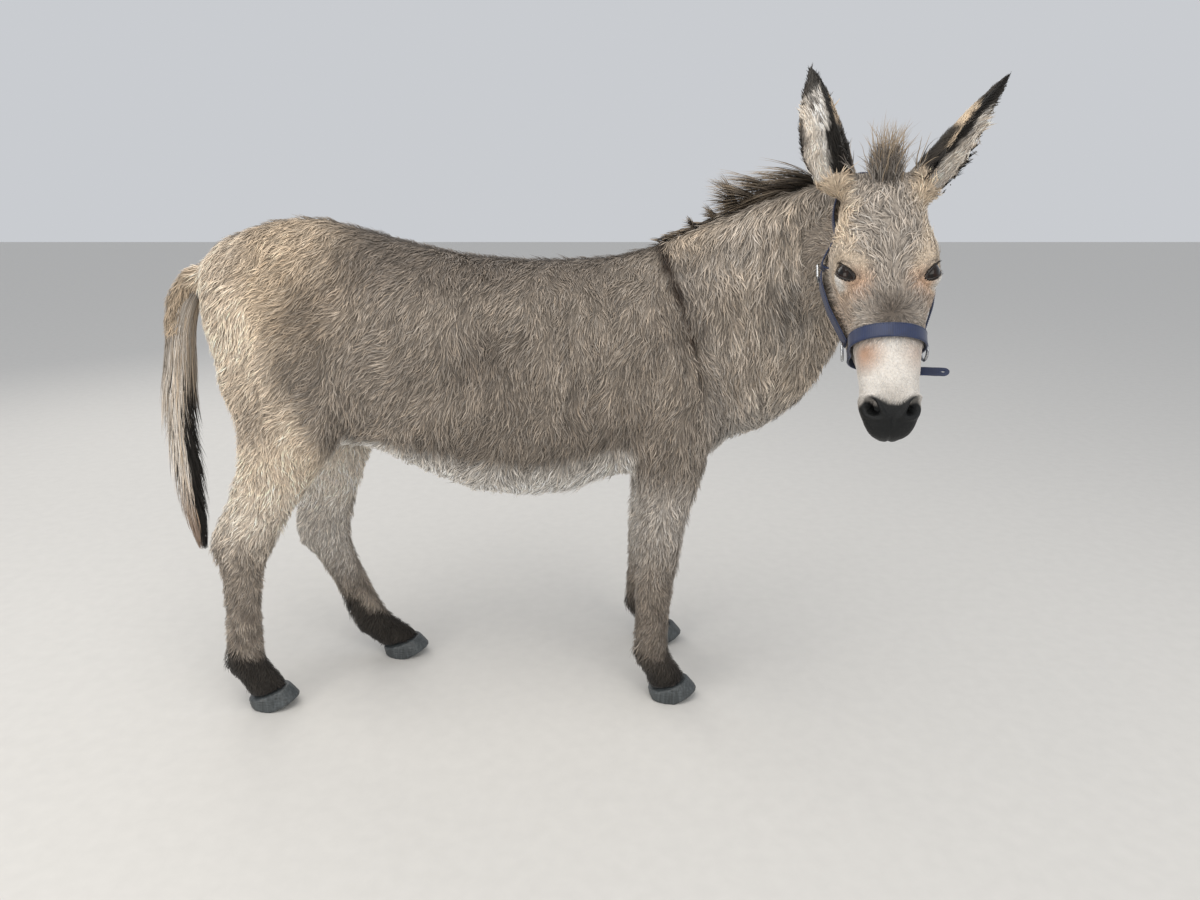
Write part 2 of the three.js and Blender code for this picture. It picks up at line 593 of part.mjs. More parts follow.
const shell = headAndNape(WEBBING_OUT).subtract(headAndNape(WEBBING_IN)).subtract(headAndNape(GAP));
const clear = headAndNape(WEBBING_OUT + GAP);
const earRoots = union(Object.values(EARS).flatMap((shape) => [ear(shape, WEBBING_IN), earRoot(shape)]));
add("noseband", shell.intersect(nosebandBox()), "webbing");
add("crown_strap", shell.intersect(strapBox(BUCKLE_AT, NAPE_AT, 0)).subtract(earRoots), "webbing");
const taken = union([nosebandBox(GAP), strapBox(BUCKLE_AT, NAPE_AT, 0, GAP)]);
for (const [name, side] of Object.entries(SIDES)) {
  const cheekStrap = shell.intersect(strapBox(CHEEK_RING_AT, BUCKLE_AT, side)).subtract(taken);
  add(`cheek_strap_${name}`, cheekStrap, "webbing");
  add(`cheek_ring_${name}`, wireLoop(CHEEK_RING_AT, side, RING_LIFT, 12, clear), "metal");
  add(`buckle_${name}`, wireLoop(BUCKLE_AT, side, BUCKLE_LIFT, 4, clear), "metal");
}
add("chin_ring", chinRing(), "metal");
add("strap_end", strapEnd(), "webbing");

// The origin is on the floor under the middle of the whole animal
const model = new THREE.Group();
model.add(donkey);
model.updateMatrixWorld(true);
const extent = new THREE.Box3().setFromObject(donkey, true);
donkey.position.set(-(extent.min.x + extent.max.x) / 2, -(extent.min.y + extent.max.y) / 2, -extent.min.z);

export default model;
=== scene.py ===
"""A still, life-size donkey in its winter coat: skin, tufts and locks, eyes, hooves and a headcollar."""

import math

import bmesh
import bpy
import numpy as np
from bpy.props import FloatProperty, FloatVectorProperty, IntProperty, PointerProperty
from mathutils import Matrix, Quaternion, Vector
from mathutils.bvhtree import BVHTree


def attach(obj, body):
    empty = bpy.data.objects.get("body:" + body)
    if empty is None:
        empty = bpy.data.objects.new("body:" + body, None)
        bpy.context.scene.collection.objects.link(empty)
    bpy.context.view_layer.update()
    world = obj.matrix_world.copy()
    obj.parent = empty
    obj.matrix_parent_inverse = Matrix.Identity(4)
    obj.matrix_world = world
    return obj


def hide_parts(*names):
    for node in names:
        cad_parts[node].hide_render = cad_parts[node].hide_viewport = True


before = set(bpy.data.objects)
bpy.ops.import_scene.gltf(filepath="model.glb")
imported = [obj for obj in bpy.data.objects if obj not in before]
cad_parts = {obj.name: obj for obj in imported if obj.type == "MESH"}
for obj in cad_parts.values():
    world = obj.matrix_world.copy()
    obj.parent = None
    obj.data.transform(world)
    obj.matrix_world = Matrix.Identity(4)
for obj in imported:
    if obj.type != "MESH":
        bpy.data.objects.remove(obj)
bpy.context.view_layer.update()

bl_info = {
    "name": "Donkey",
    "version": (1, 0, 0),
    "blender": (4, 5, 0),
    "location": "3D View > Sidebar > Donkey",
    "description": "Makes a still donkey's skin, coat, mane, tail, eyes, hooves and headcollar",
    "category": "Object",
}

# ---- Places, in metres in the frame's own axes: +X is where the donkey heads, +Y its left, +Z up ----

LEGS = ("hindleg_right", "hindleg_left", "foreleg_right", "foreleg_left")
EARS = ("ear_right", "ear_left")
FLESH = ("trunk", "neck", "head", "tail_dock") + LEGS + EARS
TRUNK, NECK, HEAD, DOCK, HINDS, FORES, EAR = range(7)
PART_OF = dict(trunk=TRUNK, neck=NECK, head=HEAD, tail_dock=DOCK, hindleg_right=HINDS, hindleg_left=HINDS,
               foreleg_right=FORES, foreleg_left=FORES, ear_right=EAR, ear_left=EAR)
SIDES = {"right": -1, "left": 1}
MIDDLE = 0.13  # the trunk's middle plane, along Y

HEAD_PLACE = Vector((0.6071, -0.118, 1.106))
HEAD_PITCH, HEAD_YAW, HEAD_ROLL = map(math.radians, (56, 5, 1.5))
EYE_AT = Vector((0.183, 0.060, -0.025))
EYE_RADIUS = 0.023
GAZE = Vector((0.1, 0.72, 0.68))
LID_TURN = 52  # degrees that the slit between the lids tilts from the head's middle plane
SLIT_HALF, SLIT_OVER, SLIT_UNDER = 0.0205, 0.0100, 0.0084
NOSTRIL_AT = Vector((0.412, 0.034, -0.034))
WHORL = 0.262  # distance down the face of the whorl that its hair runs out from
NOSEBAND_AT = 0.292
RING_AT = Vector((0.292, 0, -0.094))
BUCKLE_AT = Vector((0.128, 0, -0.122))
NAPE_AT = Vector((-0.084, 0, -0.079))
EAR_SHAPES = {  # root, tip and the way the hollow looks, in the head's frame
    "ear_right": ((0.006, -0.064, -0.034), (-0.210, -0.121, 0.007), (0.3, -0.6, 0.75)),
    "ear_left": ((0.002, 0.052, -0.034), (-0.156, 0.203, 0.038), (0.6, 0.65, 0.35)),
}
EAR_LENGTH = 0.23
EAR_HALF_WIDTH = 0.043
DOCK_BARE_FROM = 0.795  # height below which the dock wears only the tail's long locks
COAT_SPLIT = -0.19  # where the trunk's coat is divided into a rear and a fore piece
STRIPE = ((0.236, 0.985), (0.242, 0.968), (0.267, 0.899), (0.293, 0.824), (0.309, 0.759), (0.329, 0.659))
EYE = Vector((0.1221, -1.72, 1.10))  # where the camera stands
CAMERA_PITCH = 17
LENS, SENSOR = 27.03, 36  # millimetres

# Grains of the remeshed surfaces, and how many locks there are
SKIN_OVER_FLESH = 0.0006  # lets the flesh nodes, which stop short of each other, join into one
EAR_GRAIN, HOOF_GRAIN, SPARE_GRAIN = 0.0030, 0.0022, 0.0008
# On the head, for each finer grain: its reach round an eye and where it starts on the nose
FINER_GRAINS = ((9.0, 0.0), (0.050, 0.372), (0.034, 0.388))
# Upper and lower lashes: how many, from and to which angle of the slit, their reach and their droop
LASHES = ((70, 0.35, 2.75, 0.0105, -0.35), (24, 3.6, 5.9, 0.0055, 0.25))
MANE_LOCKS, FORELOCK_TRIES, TAIL_LOCKS = 1800, 760, 3200
TUFT_PATCH = 0.0034  # side of one tuft's patch on the unwrap
GROWTH_RING = 0.0062  # spacing of a hoof's rings
STITCH = 0.0042  # spacing of the stitches
# A stitch's ends and middle: the place along it, as a share of STITCH, half its thickness and its rise
STITCH_SHAPE = ((-0.32, 0.00022, -0.00005), (0, 0.00045, 0.00030), (0.32, 0.00022, -0.00005))
STITCH_ROW = 0.42  # a row's distance from the webbing's middle line, as a share of its width
RAY = 0.4  # how far out the rays start that find a strap's outer face


# ---- Arithmetic on arrays ----


def linear(colour):
    """A colour written as sRGB hex, in linear light."""
    parts = [int(colour[i:i + 2], 16) / 255 for i in (1, 3, 5)]
    return tuple(c / 12.92 if c <= 0.04045 else ((c + 0.055) / 1.055) ** 2.4 for c in parts)


def unit(v):
    return v / np.maximum(np.linalg.norm(v, axis=-1, keepdims=True), 1e-12)


def smooth(low, high, value):
    """0 at low and 1 at high, easing at both; high may be the lower number."""
    t = np.clip((np.asarray(value) - low) / (high - low), 0, 1)
    return t * t * (3 - 2 * t)


def mix(a, b, share):
    share = np.asarray(share)[..., None]
    return a * (1 - share) + b * share


def waves(points, size, seed):
    """Smooth random values, mostly from -1 to 1, whose bumps are about `size` metres across."""
    rng = np.random.default_rng(seed)
    total = np.zeros(len(points))
    for _ in range(7):
        way = unit(rng.normal(size=3)) * math.tau / size * rng.uniform(0.35, 0.9)
        total += np.sin(points @ way + rng.uniform(0, math.tau))
    return total / 2.4


def flat(v, n):
    """v without its part along n, as a unit vector."""
    return unit(v - n * (v * n).sum(-1, keepdims=True))


def basis(place, along, up=(0, 0, 1)):
    """The frame at `place` whose +X runs along `along`, with +Z as near to `up` as it can be."""
    x = Vector(along).normalized()
    y = Vector(up).cross(x).normalized()
    z = x.cross(y)
    return Matrix.Translation(place) @ Matrix((x, y, z)).transposed().to_4x4()


def head_frame():
    level = Vector((-math.sin(HEAD_YAW), -math.cos(HEAD_YAW), 0))
    down = level * math.cos(HEAD_PITCH) - Vector((0, 0, math.sin(HEAD_PITCH)))
    return basis(HEAD_PLACE, down, Quaternion(level, HEAD_ROLL) @ Vector((0, 0, 1)))


ON_HEAD = head_frame()
EAR_FRAMES = {}
for _name, (_root, _tip, _hollow) in EAR_SHAPES.items():
    EAR_FRAMES[_name] = ON_HEAD @ basis(Vector(_root), Vector(_tip) - Vector(_root), _hollow)


def into(space, points):
    """Points in the coordinates of a frame."""
    m = np.array(space.inverted())
    return points @ m[:3, :3].T + m[:3, 3]


def out_of(space, points):
    m = np.array(space)
    return np.asarray(points, float) @ m[:3, :3].T + m[:3, 3]


def turned(space, ways):
    return np.asarray(ways, float) @ np.array(space)[:3, :3].T


def relax(values, edges, rounds, weight=1.0, rate=0.5):
    """Moves each vertex's value part of the way to its neighbours' mean, `rounds` times."""
    values = np.array(values, float)
    shape = values.shape
    values = values.reshape(len(values), -1)
    a, b = edges.T
    count = np.maximum(np.bincount(edges.ravel(), minlength=len(values)), 1)
    share = np.broadcast_to(np.asarray(weight, float) * rate, (len(values),))
    for _ in range(rounds):
        for k in range(values.shape[1]):
            v = values[:, k]
            mean = (np.bincount(a, v[b], len(v)) + np.bincount(b, v[a], len(v))) / count
            values[:, k] = v + share * (mean - v)
    return values.reshape(shape)


# ---- Meshes ----


class Shell:
    """A mesh as arrays: places, edges, triangles, normals and a tree to find the nearest point."""

    def __init__(self, mesh):
        self.mesh = mesh
        self.read()

    def read(self):
        mesh = self.mesh
        self.co = np.empty(len(mesh.vertices) * 3)
        mesh.vertices.foreach_get("co", self.co)
        self.co = self.co.reshape(-1, 3)
        self.edges = np.empty(len(mesh.edges) * 2, int)
        mesh.edges.foreach_get("vertices", self.edges)
        self.edges = self.edges.reshape(-1, 2)
        mesh.calc_loop_triangles()
        self.triangles = np.empty(len(mesh.loop_triangles) * 3, int)
        mesh.loop_triangles.foreach_get("vertices", self.triangles)
        self.triangles = self.triangles.reshape(-1, 3)

    def normals(self):
        corner = self.co[self.triangles]
        face = np.cross(corner[:, 1] - corner[:, 0], corner[:, 2] - corner[:, 0])
        total = np.stack([
            sum(np.bincount(self.triangles[:, i], face[:, k], len(self.co)) for i in range(3))
            for k in range(3)
        ], 1)
        return unit(total)

    def write(self, co):
        self.co = co
        self.mesh.vertices.foreach_set("co", co.ravel())
        self.mesh.update()

    def tree(self):
        return BVHTree.FromPolygons(self.co.tolist(), self.triangles.tolist())


def closed_node(name, grow=0.0):
    """A node's mesh with its faces joined up again, moved outwards by `grow`."""
    bm = bmesh.new()
    bm.from_mesh(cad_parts[name].data)
    bmesh.ops.remove_doubles(bm, verts=bm.verts, dist=1e-5)
    bm.normal_update()
    moved = [v.co + v.normal * grow for v in bm.verts]
    bm.verts.index_update()
    faces = [[v.index for v in f.verts] for f in bm.faces]
    bm.free()
    return [tuple(p) for p in moved], faces


def joined(parts):
    """One list of vertices and one of faces from several."""
    vertices, faces = [], []
    for v, f in parts:
        base = len(vertices)
        vertices += list(v)
        faces += [[base + i for i in face] for face in f]
    return vertices, faces


def new_mesh(name, vertices, faces):
    mesh = bpy.data.meshes.new(name)
    mesh.from_pydata([tuple(v) for v in vertices], [], faces)
    mesh.update()
    return mesh


def shown(mesh, name):
    piece = bpy.data.objects.new(name, mesh)
    bpy.context.scene.collection.objects.link(piece)
    return piece


def evaluated(mesh, kind, **settings):
    """The mesh after one modifier."""
    helper = shown(mesh, "helper")
    modifier = helper.modifiers.new("shape", kind)
    for key, value in settings.items():
        setattr(modifier, key, value)
    graph = bpy.context.evaluated_depsgraph_get()
    result = bpy.data.meshes.new_from_object(helper.evaluated_get(graph))
    bpy.data.objects.remove(helper)
    return result


def remeshed(parts, voxel):
    """One closed surface round closed parts that touch or overlap."""
    mesh = new_mesh("joined", *joined(parts))
    return evaluated(mesh, "REMESH", mode="VOXEL", voxel_size=voxel, use_smooth_shade=True)


def globe(centre, radius, across=24, rings=16):
    """A sphere whose faces come in the same order each run, each from its lowest corner."""
    bm = bmesh.new()
    bmesh.ops.create_uvsphere(bm, u_segments=across, v_segments=rings, radius=radius)
    bm.verts.index_update()
    vertices = [tuple(v.co + Vector(centre)) for v in bm.verts]
    faces = [[v.index for v in f.verts] for f in bm.faces]
    bm.free()
    lowest = [face.index(min(face)) for face in faces]
    return vertices, sorted(face[at:] + face[:at] for face, at in zip(faces, lowest))


def finished(piece, slot, *nodes, material=None, smooth_faces=True):
    """Every piece rides on the one body, takes its material when one is given and may stand for CAD nodes;
    the slot is not used.
    """
    if material:
        piece.data.materials.clear()
        piece.data.materials.append(material)
    if smooth_faces:
        piece.data.shade_smooth()
    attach(piece, "root")
    if nodes:
        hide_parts(*nodes)
    return piece


def paint(mesh, name, colours):
    """A colour for each vertex, in linear light."""
    layer = mesh.color_attributes.new(name, "FLOAT_COLOR", "POINT")
    rgba = np.ones((len(mesh.vertices), 4), np.float32)
    rgba[:, :3] = np.clip(colours, 0, 1)
    layer.data.foreach_set("color", rgba.ravel())


def keep(mesh, name, values):
    """A number for each vertex."""
    layer = mesh.attributes.new(name, "FLOAT", "POINT")
    layer.data.foreach_set("value", np.asarray(values, np.float32))


# ---- Materials ----


def material(name):
    made = bpy.data.materials.new(name)
    made.use_nodes = True
    made.node_tree.nodes.clear()
    return made, made.node_tree


def node(tree, kind, links=(), **settings):
    """Adds a node with its settings; links maps an input's name or number to a socket, or to a value."""
    made = tree.nodes.new(kind)
    for key, value in settings.items():
        setattr(made, key, value)
    for key, value in dict(links).items():
        if isinstance(value, bpy.types.NodeSocket):
            tree.links.new(value, made.inputs[key])
        else:
            made.inputs[key].default_value = value
    return made


def ramp(tree, factor, *stops):
    """A colour ramp whose stops are (place, linear colour)."""
    made = node(tree, "ShaderNodeValToRGB", {"Fac": factor})
    elements = made.color_ramp.elements
    while len(elements) < len(stops):
        elements.new(0.5)
    for element, (place, colour) in zip(elements, stops):
        element.position = place
        element.color = (*colour, 1)
    return made.outputs["Color"]


def surface(tree, shader):
    node(tree, "ShaderNodeOutputMaterial", {"Surface": shader.outputs[0]})


# ---- What the user may change ----


def size(name, value, description, **more):
    return FloatProperty(name=name, default=value, description=description, unit="LENGTH", precision=4,
                         **more)


def colour(name, value, description):
    return FloatVectorProperty(
        name=name, default=linear(value), description=description, subtype="COLOR", min=0, max=1)


class DonkeyCoat(bpy.types.PropertyGroup):
    trunk: size("Trunk", 0.026, "Length of the tufts on the trunk")
    neck: size("Neck", 0.032, "Length of the tufts on the neck and breast")
    belly: size("Belly", 0.036, "Length of the tufts along the belly")
    leg: size("Legs", 0.022, "Length of the tufts on the upper legs")
    pastern: size("Pasterns", 0.013, "Length of the tufts above the hooves")
    forehead: size("Forehead", 0.027, "Length of the tufts on the forehead")
    face: size("Face", 0.012, "Length of the tufts down the face")
    muzzle: size("Muzzle", 0.005, "Length of the tufts on the muzzle")
    ear: size("Ears", 0.013, "Length of the tufts on the ears")
    dock: size("Dock", 0.024, "Length of the tufts on the tail's dock")
    depth: size("Depth", 0.008, "Depth of the coat on the trunk, from its tips to the skin")
    voxel: size("Skin grain", 0.0066, "Spacing of the skin's vertices")
    seed: IntProperty(name="Seed", default=11, description="Start of the coat's random numbers")


class DonkeyColours(bpy.types.PropertyGroup):
    dun: colour("Dun", "#988d81", "Flank, neck and shoulder")
    tan: colour("Tan", "#d3bda2", "Croup, back and temples")
    buff: colour("Buff", "#f0dcc4", "Buttocks and thighs")
    pale: colour("Pale", "#f6f0e8", "Belly, muzzle and the ears' hollows")
    shade: colour("Shade", "#5d544c", "Soft dark places")
    stripe: colour("Stripe", "#33281f", "Shoulder cross and dorsal stripe")
    black: colour("Black", "#1c1814", "Fetlocks, the ears' edges, mane and lashes")
    rust: colour("Rust", "#bd9478", "Beside the eyes and the muzzle")
    slate: colour("Slate", "#0d0f10", "Bare skin of nose and lips")
    silver: colour("Silver", "#c3bbb2", "Light tips of the forehead's tufts")
    horn: colour("Horn", "#44494b", "Hooves")
    iris: colour("Iris", "#1d110b", "The eyes' irises")


class DonkeyTack(bpy.types.PropertyGroup):
    width: size("Webbing", 0.025, "Width of the headcollar's webbing")
    thickness: size("Thickness", 0.0028, "Thickness of the webbing")
    webbing: colour("Webbing", "#0f2146", "The webbing's dyed yarn")
    thread: colour("Thread", "#25324f", "The stitching")
    metal: colour("Metal", "#c6c8ca", "Rings and buckles")


class DonkeyStage(bpy.types.PropertyGroup):
    floor: colour("Floor", "#d9d7d3", "The studio floor")
    light: FloatProperty(name="Light", default=62, description="Power of the main light", unit="POWER")


GROUPS = {"donkey_coat": DonkeyCoat, "donkey_colours": DonkeyColours, "donkey_tack": DonkeyTack,
          "donkey_stage": DonkeyStage}


def settings(name):
    return getattr(bpy.context.scene, "donkey_" + name)


def shades():
    """The colours as arrays."""
    group = settings("colours")
    return {key: np.array(getattr(group, key)) for key in DonkeyColours.__annotations__}


# ---- The skin ----

skin = {}  # what later pieces need of the skin: its shell, and its vertices' normals and fields
rims = []  # the meshes of the lids' edges, which are made with the skin and shown with the eyes


def near(points, place, radius):
    """1 at a place, easing to 0 at `radius` from it."""
    return smooth(radius, 0, np.linalg.norm(points - np.array(place), axis=-1))


def labels(points):
    """The part of the body that each point is on."""
    vertices, faces = joined([closed_node(name) for name in FLESH])
    tree = BVHTree.FromPolygons(vertices, faces)
    owner = []
    for name in FLESH:
        owner += [FLESH.index(name)] * len(closed_node(name)[1])
    return np.array([owner[tree.find_nearest(p)[2]] for p in points.tolist()])


def eye_frame(side):
    """At an eyeball's centre: +X out through the slit, +Y along the slit, +Z across it, upwards."""
    gaze = Vector((GAZE.x, side * GAZE.y, GAZE.z))
    place = Vector((EYE_AT.x, side * EYE_AT.y, EYE_AT.z))
    turn = Matrix.Rotation(math.radians(180 + side * (90 + LID_TURN)), 4, "X")
    return ON_HEAD @ basis(place, gaze) @ turn


def slit(t, side):
    """The lids' edge for angles t round the slit, as (along, across) in metres; corners at 0 and at pi."""
    along = SLIT_HALF * np.cos(t)
    lift = np.abs(np.sin(t)) ** 0.85
    return along, np.where(np.sin(t) > 0, SLIT_OVER, -SLIT_UNDER) * lift * (1 + 0.12 * side * np.cos(t))


def outside_slit(q, side):
    """How far points in an eye's frame lie outside its slit, seen from the front."""
    t = np.arctan2(q[:, 2] / ((SLIT_OVER + SLIT_UNDER) / 2), q[:, 1] / SLIT_HALF)
    return np.hypot(q[:, 1], q[:, 2]) - np.hypot(*slit(t, side))


def sculpt_eyes(co):
    """Rests the lids on the eyeballs, opens the slit and draws folds over and under it."""
    for side in SIDES.values():
        space = eye_frame(side)
        p = into(space, co)
        distance = np.linalg.norm(p, axis=1)
        at = np.flatnonzero((distance < 0.06) & (p[:, 0] > -0.004))
        q = p[at]
        radius = distance[at]
        reach = np.hypot(q[:, 1], q[:, 2])
        beyond = outside_slit(q, side)
        lid = EYE_RADIUS + 0.0024
        wanted = np.maximum(radius, lid + 0.0010 * smooth(0.0, 0.006, beyond))
        hug = smooth(0.013, 0.001, beyond)  # the lids lie on the eyeball near their edge
        wanted = wanted * (1 - hug) + np.minimum(wanted, lid + 0.0006) * hug
        over = q[:, 2] > 0
        fold = np.exp(-((beyond - 0.0072) / 0.0013) ** 2) * np.where(over, 0.0017, 0.0010)
        fold += np.exp(-((beyond - 0.0125) / 0.0018) ** 2) * np.where(over, 0.0012, 0.0007)
        wanted -= fold * smooth(0.028, 0.020, reach - 0.006)
        wanted = np.where(beyond < -0.0004, EYE_RADIUS * 0.72, wanted)
        q *= (wanted / radius)[:, None]
        co[at] = out_of(space, q)
    return co


def sculpt_muzzle(co, normals):
    """Opens the nostrils with their raised rims, parts the lips and dimples the chin."""
    p = into(ON_HEAD, co)
    x, y, z = p.T
    for side in SIDES.values():
        q = p - np.array((NOSTRIL_AT.x, side * NOSTRIL_AT.y, NOSTRIL_AT.z))
        turn = math.radians(-side * 20)
        a = q[:, 0] * math.cos(turn) + q[:, 1] * math.sin(turn)
        b = -q[:, 0] * math.sin(turn) + q[:, 1] * math.cos(turn)
        b = b + side * 16 * a * np.abs(a)  # the slit bends outwards at its top, like a comma
        e = np.sqrt((a / 0.0180) ** 2 + (b / 0.0086) ** 2 + (q[:, 2] / 0.034) ** 2)
        medial = smooth(0.004, -0.010, b * side)
        rim = np.exp(-((e - 1.42) / 0.30) ** 2) * (0.0022 + 0.0018 * medial)
        hole = smooth(1.12, 0.45, e) * 0.019
        facing = smooth(-0.2, 0.2, (normals * turned(ON_HEAD, (0.5, side * 0.5, 0.6))).sum(1))
        co += normals * ((rim - hole) * facing)[:, None]
    below = z + 0.094 + 0.10 * (x - 0.43)  # height over the line of the mouth
    mouth = smooth(0.362, 0.390, x)
    shape = np.exp(-((below - 0.0075) / 0.0045) ** 2) * 0.0016
    shape += np.exp(-((below + 0.0085) / 0.0050) ** 2) * 0.0020
    shape -= np.exp(-(below / 0.0019) ** 2) * 0.0046 + np.exp(-((below + 0.021) / 0.0055) ** 2) * 0.0022
    groove = np.exp(-(y / 0.0032) ** 2) * 0.0018 * smooth(0.415, 0.440, x) * smooth(-0.004, 0.004, below)
    hollow = np.exp(-(y / 0.013) ** 2 - ((x - 0.412) / 0.020) ** 2) * smooth(-0.06, -0.04, z) * 0.0032
    co += normals * (shape * mouth - groove - hollow)[:, None]
    return co


def make_skin():
    coat = settings("coat")
    inner = [closed_node(name, SKIN_OVER_FLESH) for name in FLESH if name not in EARS]
    for side in SIDES.values():
        centre = ON_HEAD @ Vector((EYE_AT.x, side * EYE_AT.y, EYE_AT.z))
        inner.append(globe(centre, EYE_RADIUS + 0.0012))
    shell = Shell(remeshed(inner, coat.voxel))
    label = labels(shell.co)
    part = np.array([PART_OF[name] for name in FLESH])[label]
    # How much each part is smoothed, and how deep its coat is
    amount = np.array([1.0, 0.8, 0.2, 0.3, 0.3, 0.3, 0.1])[part]
    amount = relax(amount, shell.edges, 12)
    down = smooth(0.40, 0.16, shell.co[:, 2]) * (part >= HINDS)
    depth = np.array([coat.depth, coat.depth * 1.05, 0.0035, 0.006, 0.0065, 0.006, 0.002])[part]
    depth = depth * (1 - 0.55 * down)
    p = into(ON_HEAD, shell.co)
    depth = np.where(part == HEAD, 0.0045 - 0.0037 * smooth(0.25, 0.40, p[:, 0]), depth)
    depth = relax(depth, shell.edges, 14)
    co = relax(shell.co, shell.edges, 40, amount)
    shell.write(co)
    co = co - shell.normals() * depth[:, None]
    shell.write(relax(co, shell.edges, 3, 0.5))

    # A finer grain on the head, and finer again round the eyes, nostrils and lips
    bm = bmesh.new()
    bm.from_mesh(shell.mesh)
    inside = ON_HEAD.inverted()
    for eye_reach, nose_from in FINER_GRAINS:
        chosen = set()
        for v in bm.verts:
            q = inside @ v.co
            if not (-0.03 < q.x < 0.48 and abs(q.y) < 0.12 and -0.24 < q.z < 0.06):
                continue
            eye = Vector((q.x, abs(q.y), q.z)) - EYE_AT
            if eye.length < eye_reach or q.x > nose_from:
                chosen.add(v)
        edges = [e for e in bm.edges if e.verts[0] in chosen and e.verts[1] in chosen]
        bmesh.ops.subdivide_edges(bm, edges=edges, cuts=1, use_grid_fill=True, smooth=0.0)
    bm.to_mesh(shell.mesh)
    bm.free()
    shell.read()
    p = into(ON_HEAD, shell.co)
    head = (p[:, 0] > -0.02) & (np.abs(p[:, 1]) < 0.11) & (p[:, 2] > -0.23)
    shell.write(relax(shell.co, shell.edges, 5, head.astype(float)))
    co = shell.co.copy()
    co = sculpt_muzzle(co, shell.normals())
    co = sculpt_eyes(co)
    shell.write(co)

    # The ears, finer grained, with their roots sunk in the head
    for name in EARS:
        ear = Shell(remeshed([closed_node(name)], EAR_GRAIN))
        ear.write(relax(ear.co, ear.edges, 10))
        q = into(EAR_FRAMES[name], ear.co)
        inset = 0.0013 * smooth(EAR_LENGTH, EAR_LENGTH - 0.03, q[:, 0])
        q = into(EAR_FRAMES[name], ear.co - ear.normals() * inset[:, None])
        q[:, 0] -= 0.016 * smooth(0.030, 0.016, q[:, 0])
        ear.write(out_of(EAR_FRAMES[name], q))
        other = shown(ear.mesh, "ear")
        shell.mesh = evaluated(shell.mesh, "BOOLEAN", operation="UNION", object=other, solver="MANIFOLD")
        bpy.data.objects.remove(other)
    shell.read()
    return shell


# ---- Fields over the skin ----


def stripe_distance(co):
    """Distance from the shoulder's stripe, seen from the side."""
    at = co[:, (0, 2)]
    best = np.full(len(at), 9.0)
    for a, b in zip(STRIPE, STRIPE[1:]):
        a, b = np.array(a), np.array(b)
        t = np.clip(((at - a) @ (b - a)) / ((b - a) @ (b - a)), 0, 1)
        best = np.minimum(best, np.linalg.norm(at - a - t[:, None] * (b - a), axis=1))
    return best


def ear_places(co, names):
    """For points on an ear, their places in its frame: up its length, across it and out of its hollow."""
    q = np.zeros((len(co), 3))
    for name in EARS:
        at = names == FLESH.index(name)
        q[at] = into(EAR_FRAMES[name], co[at])
    return q


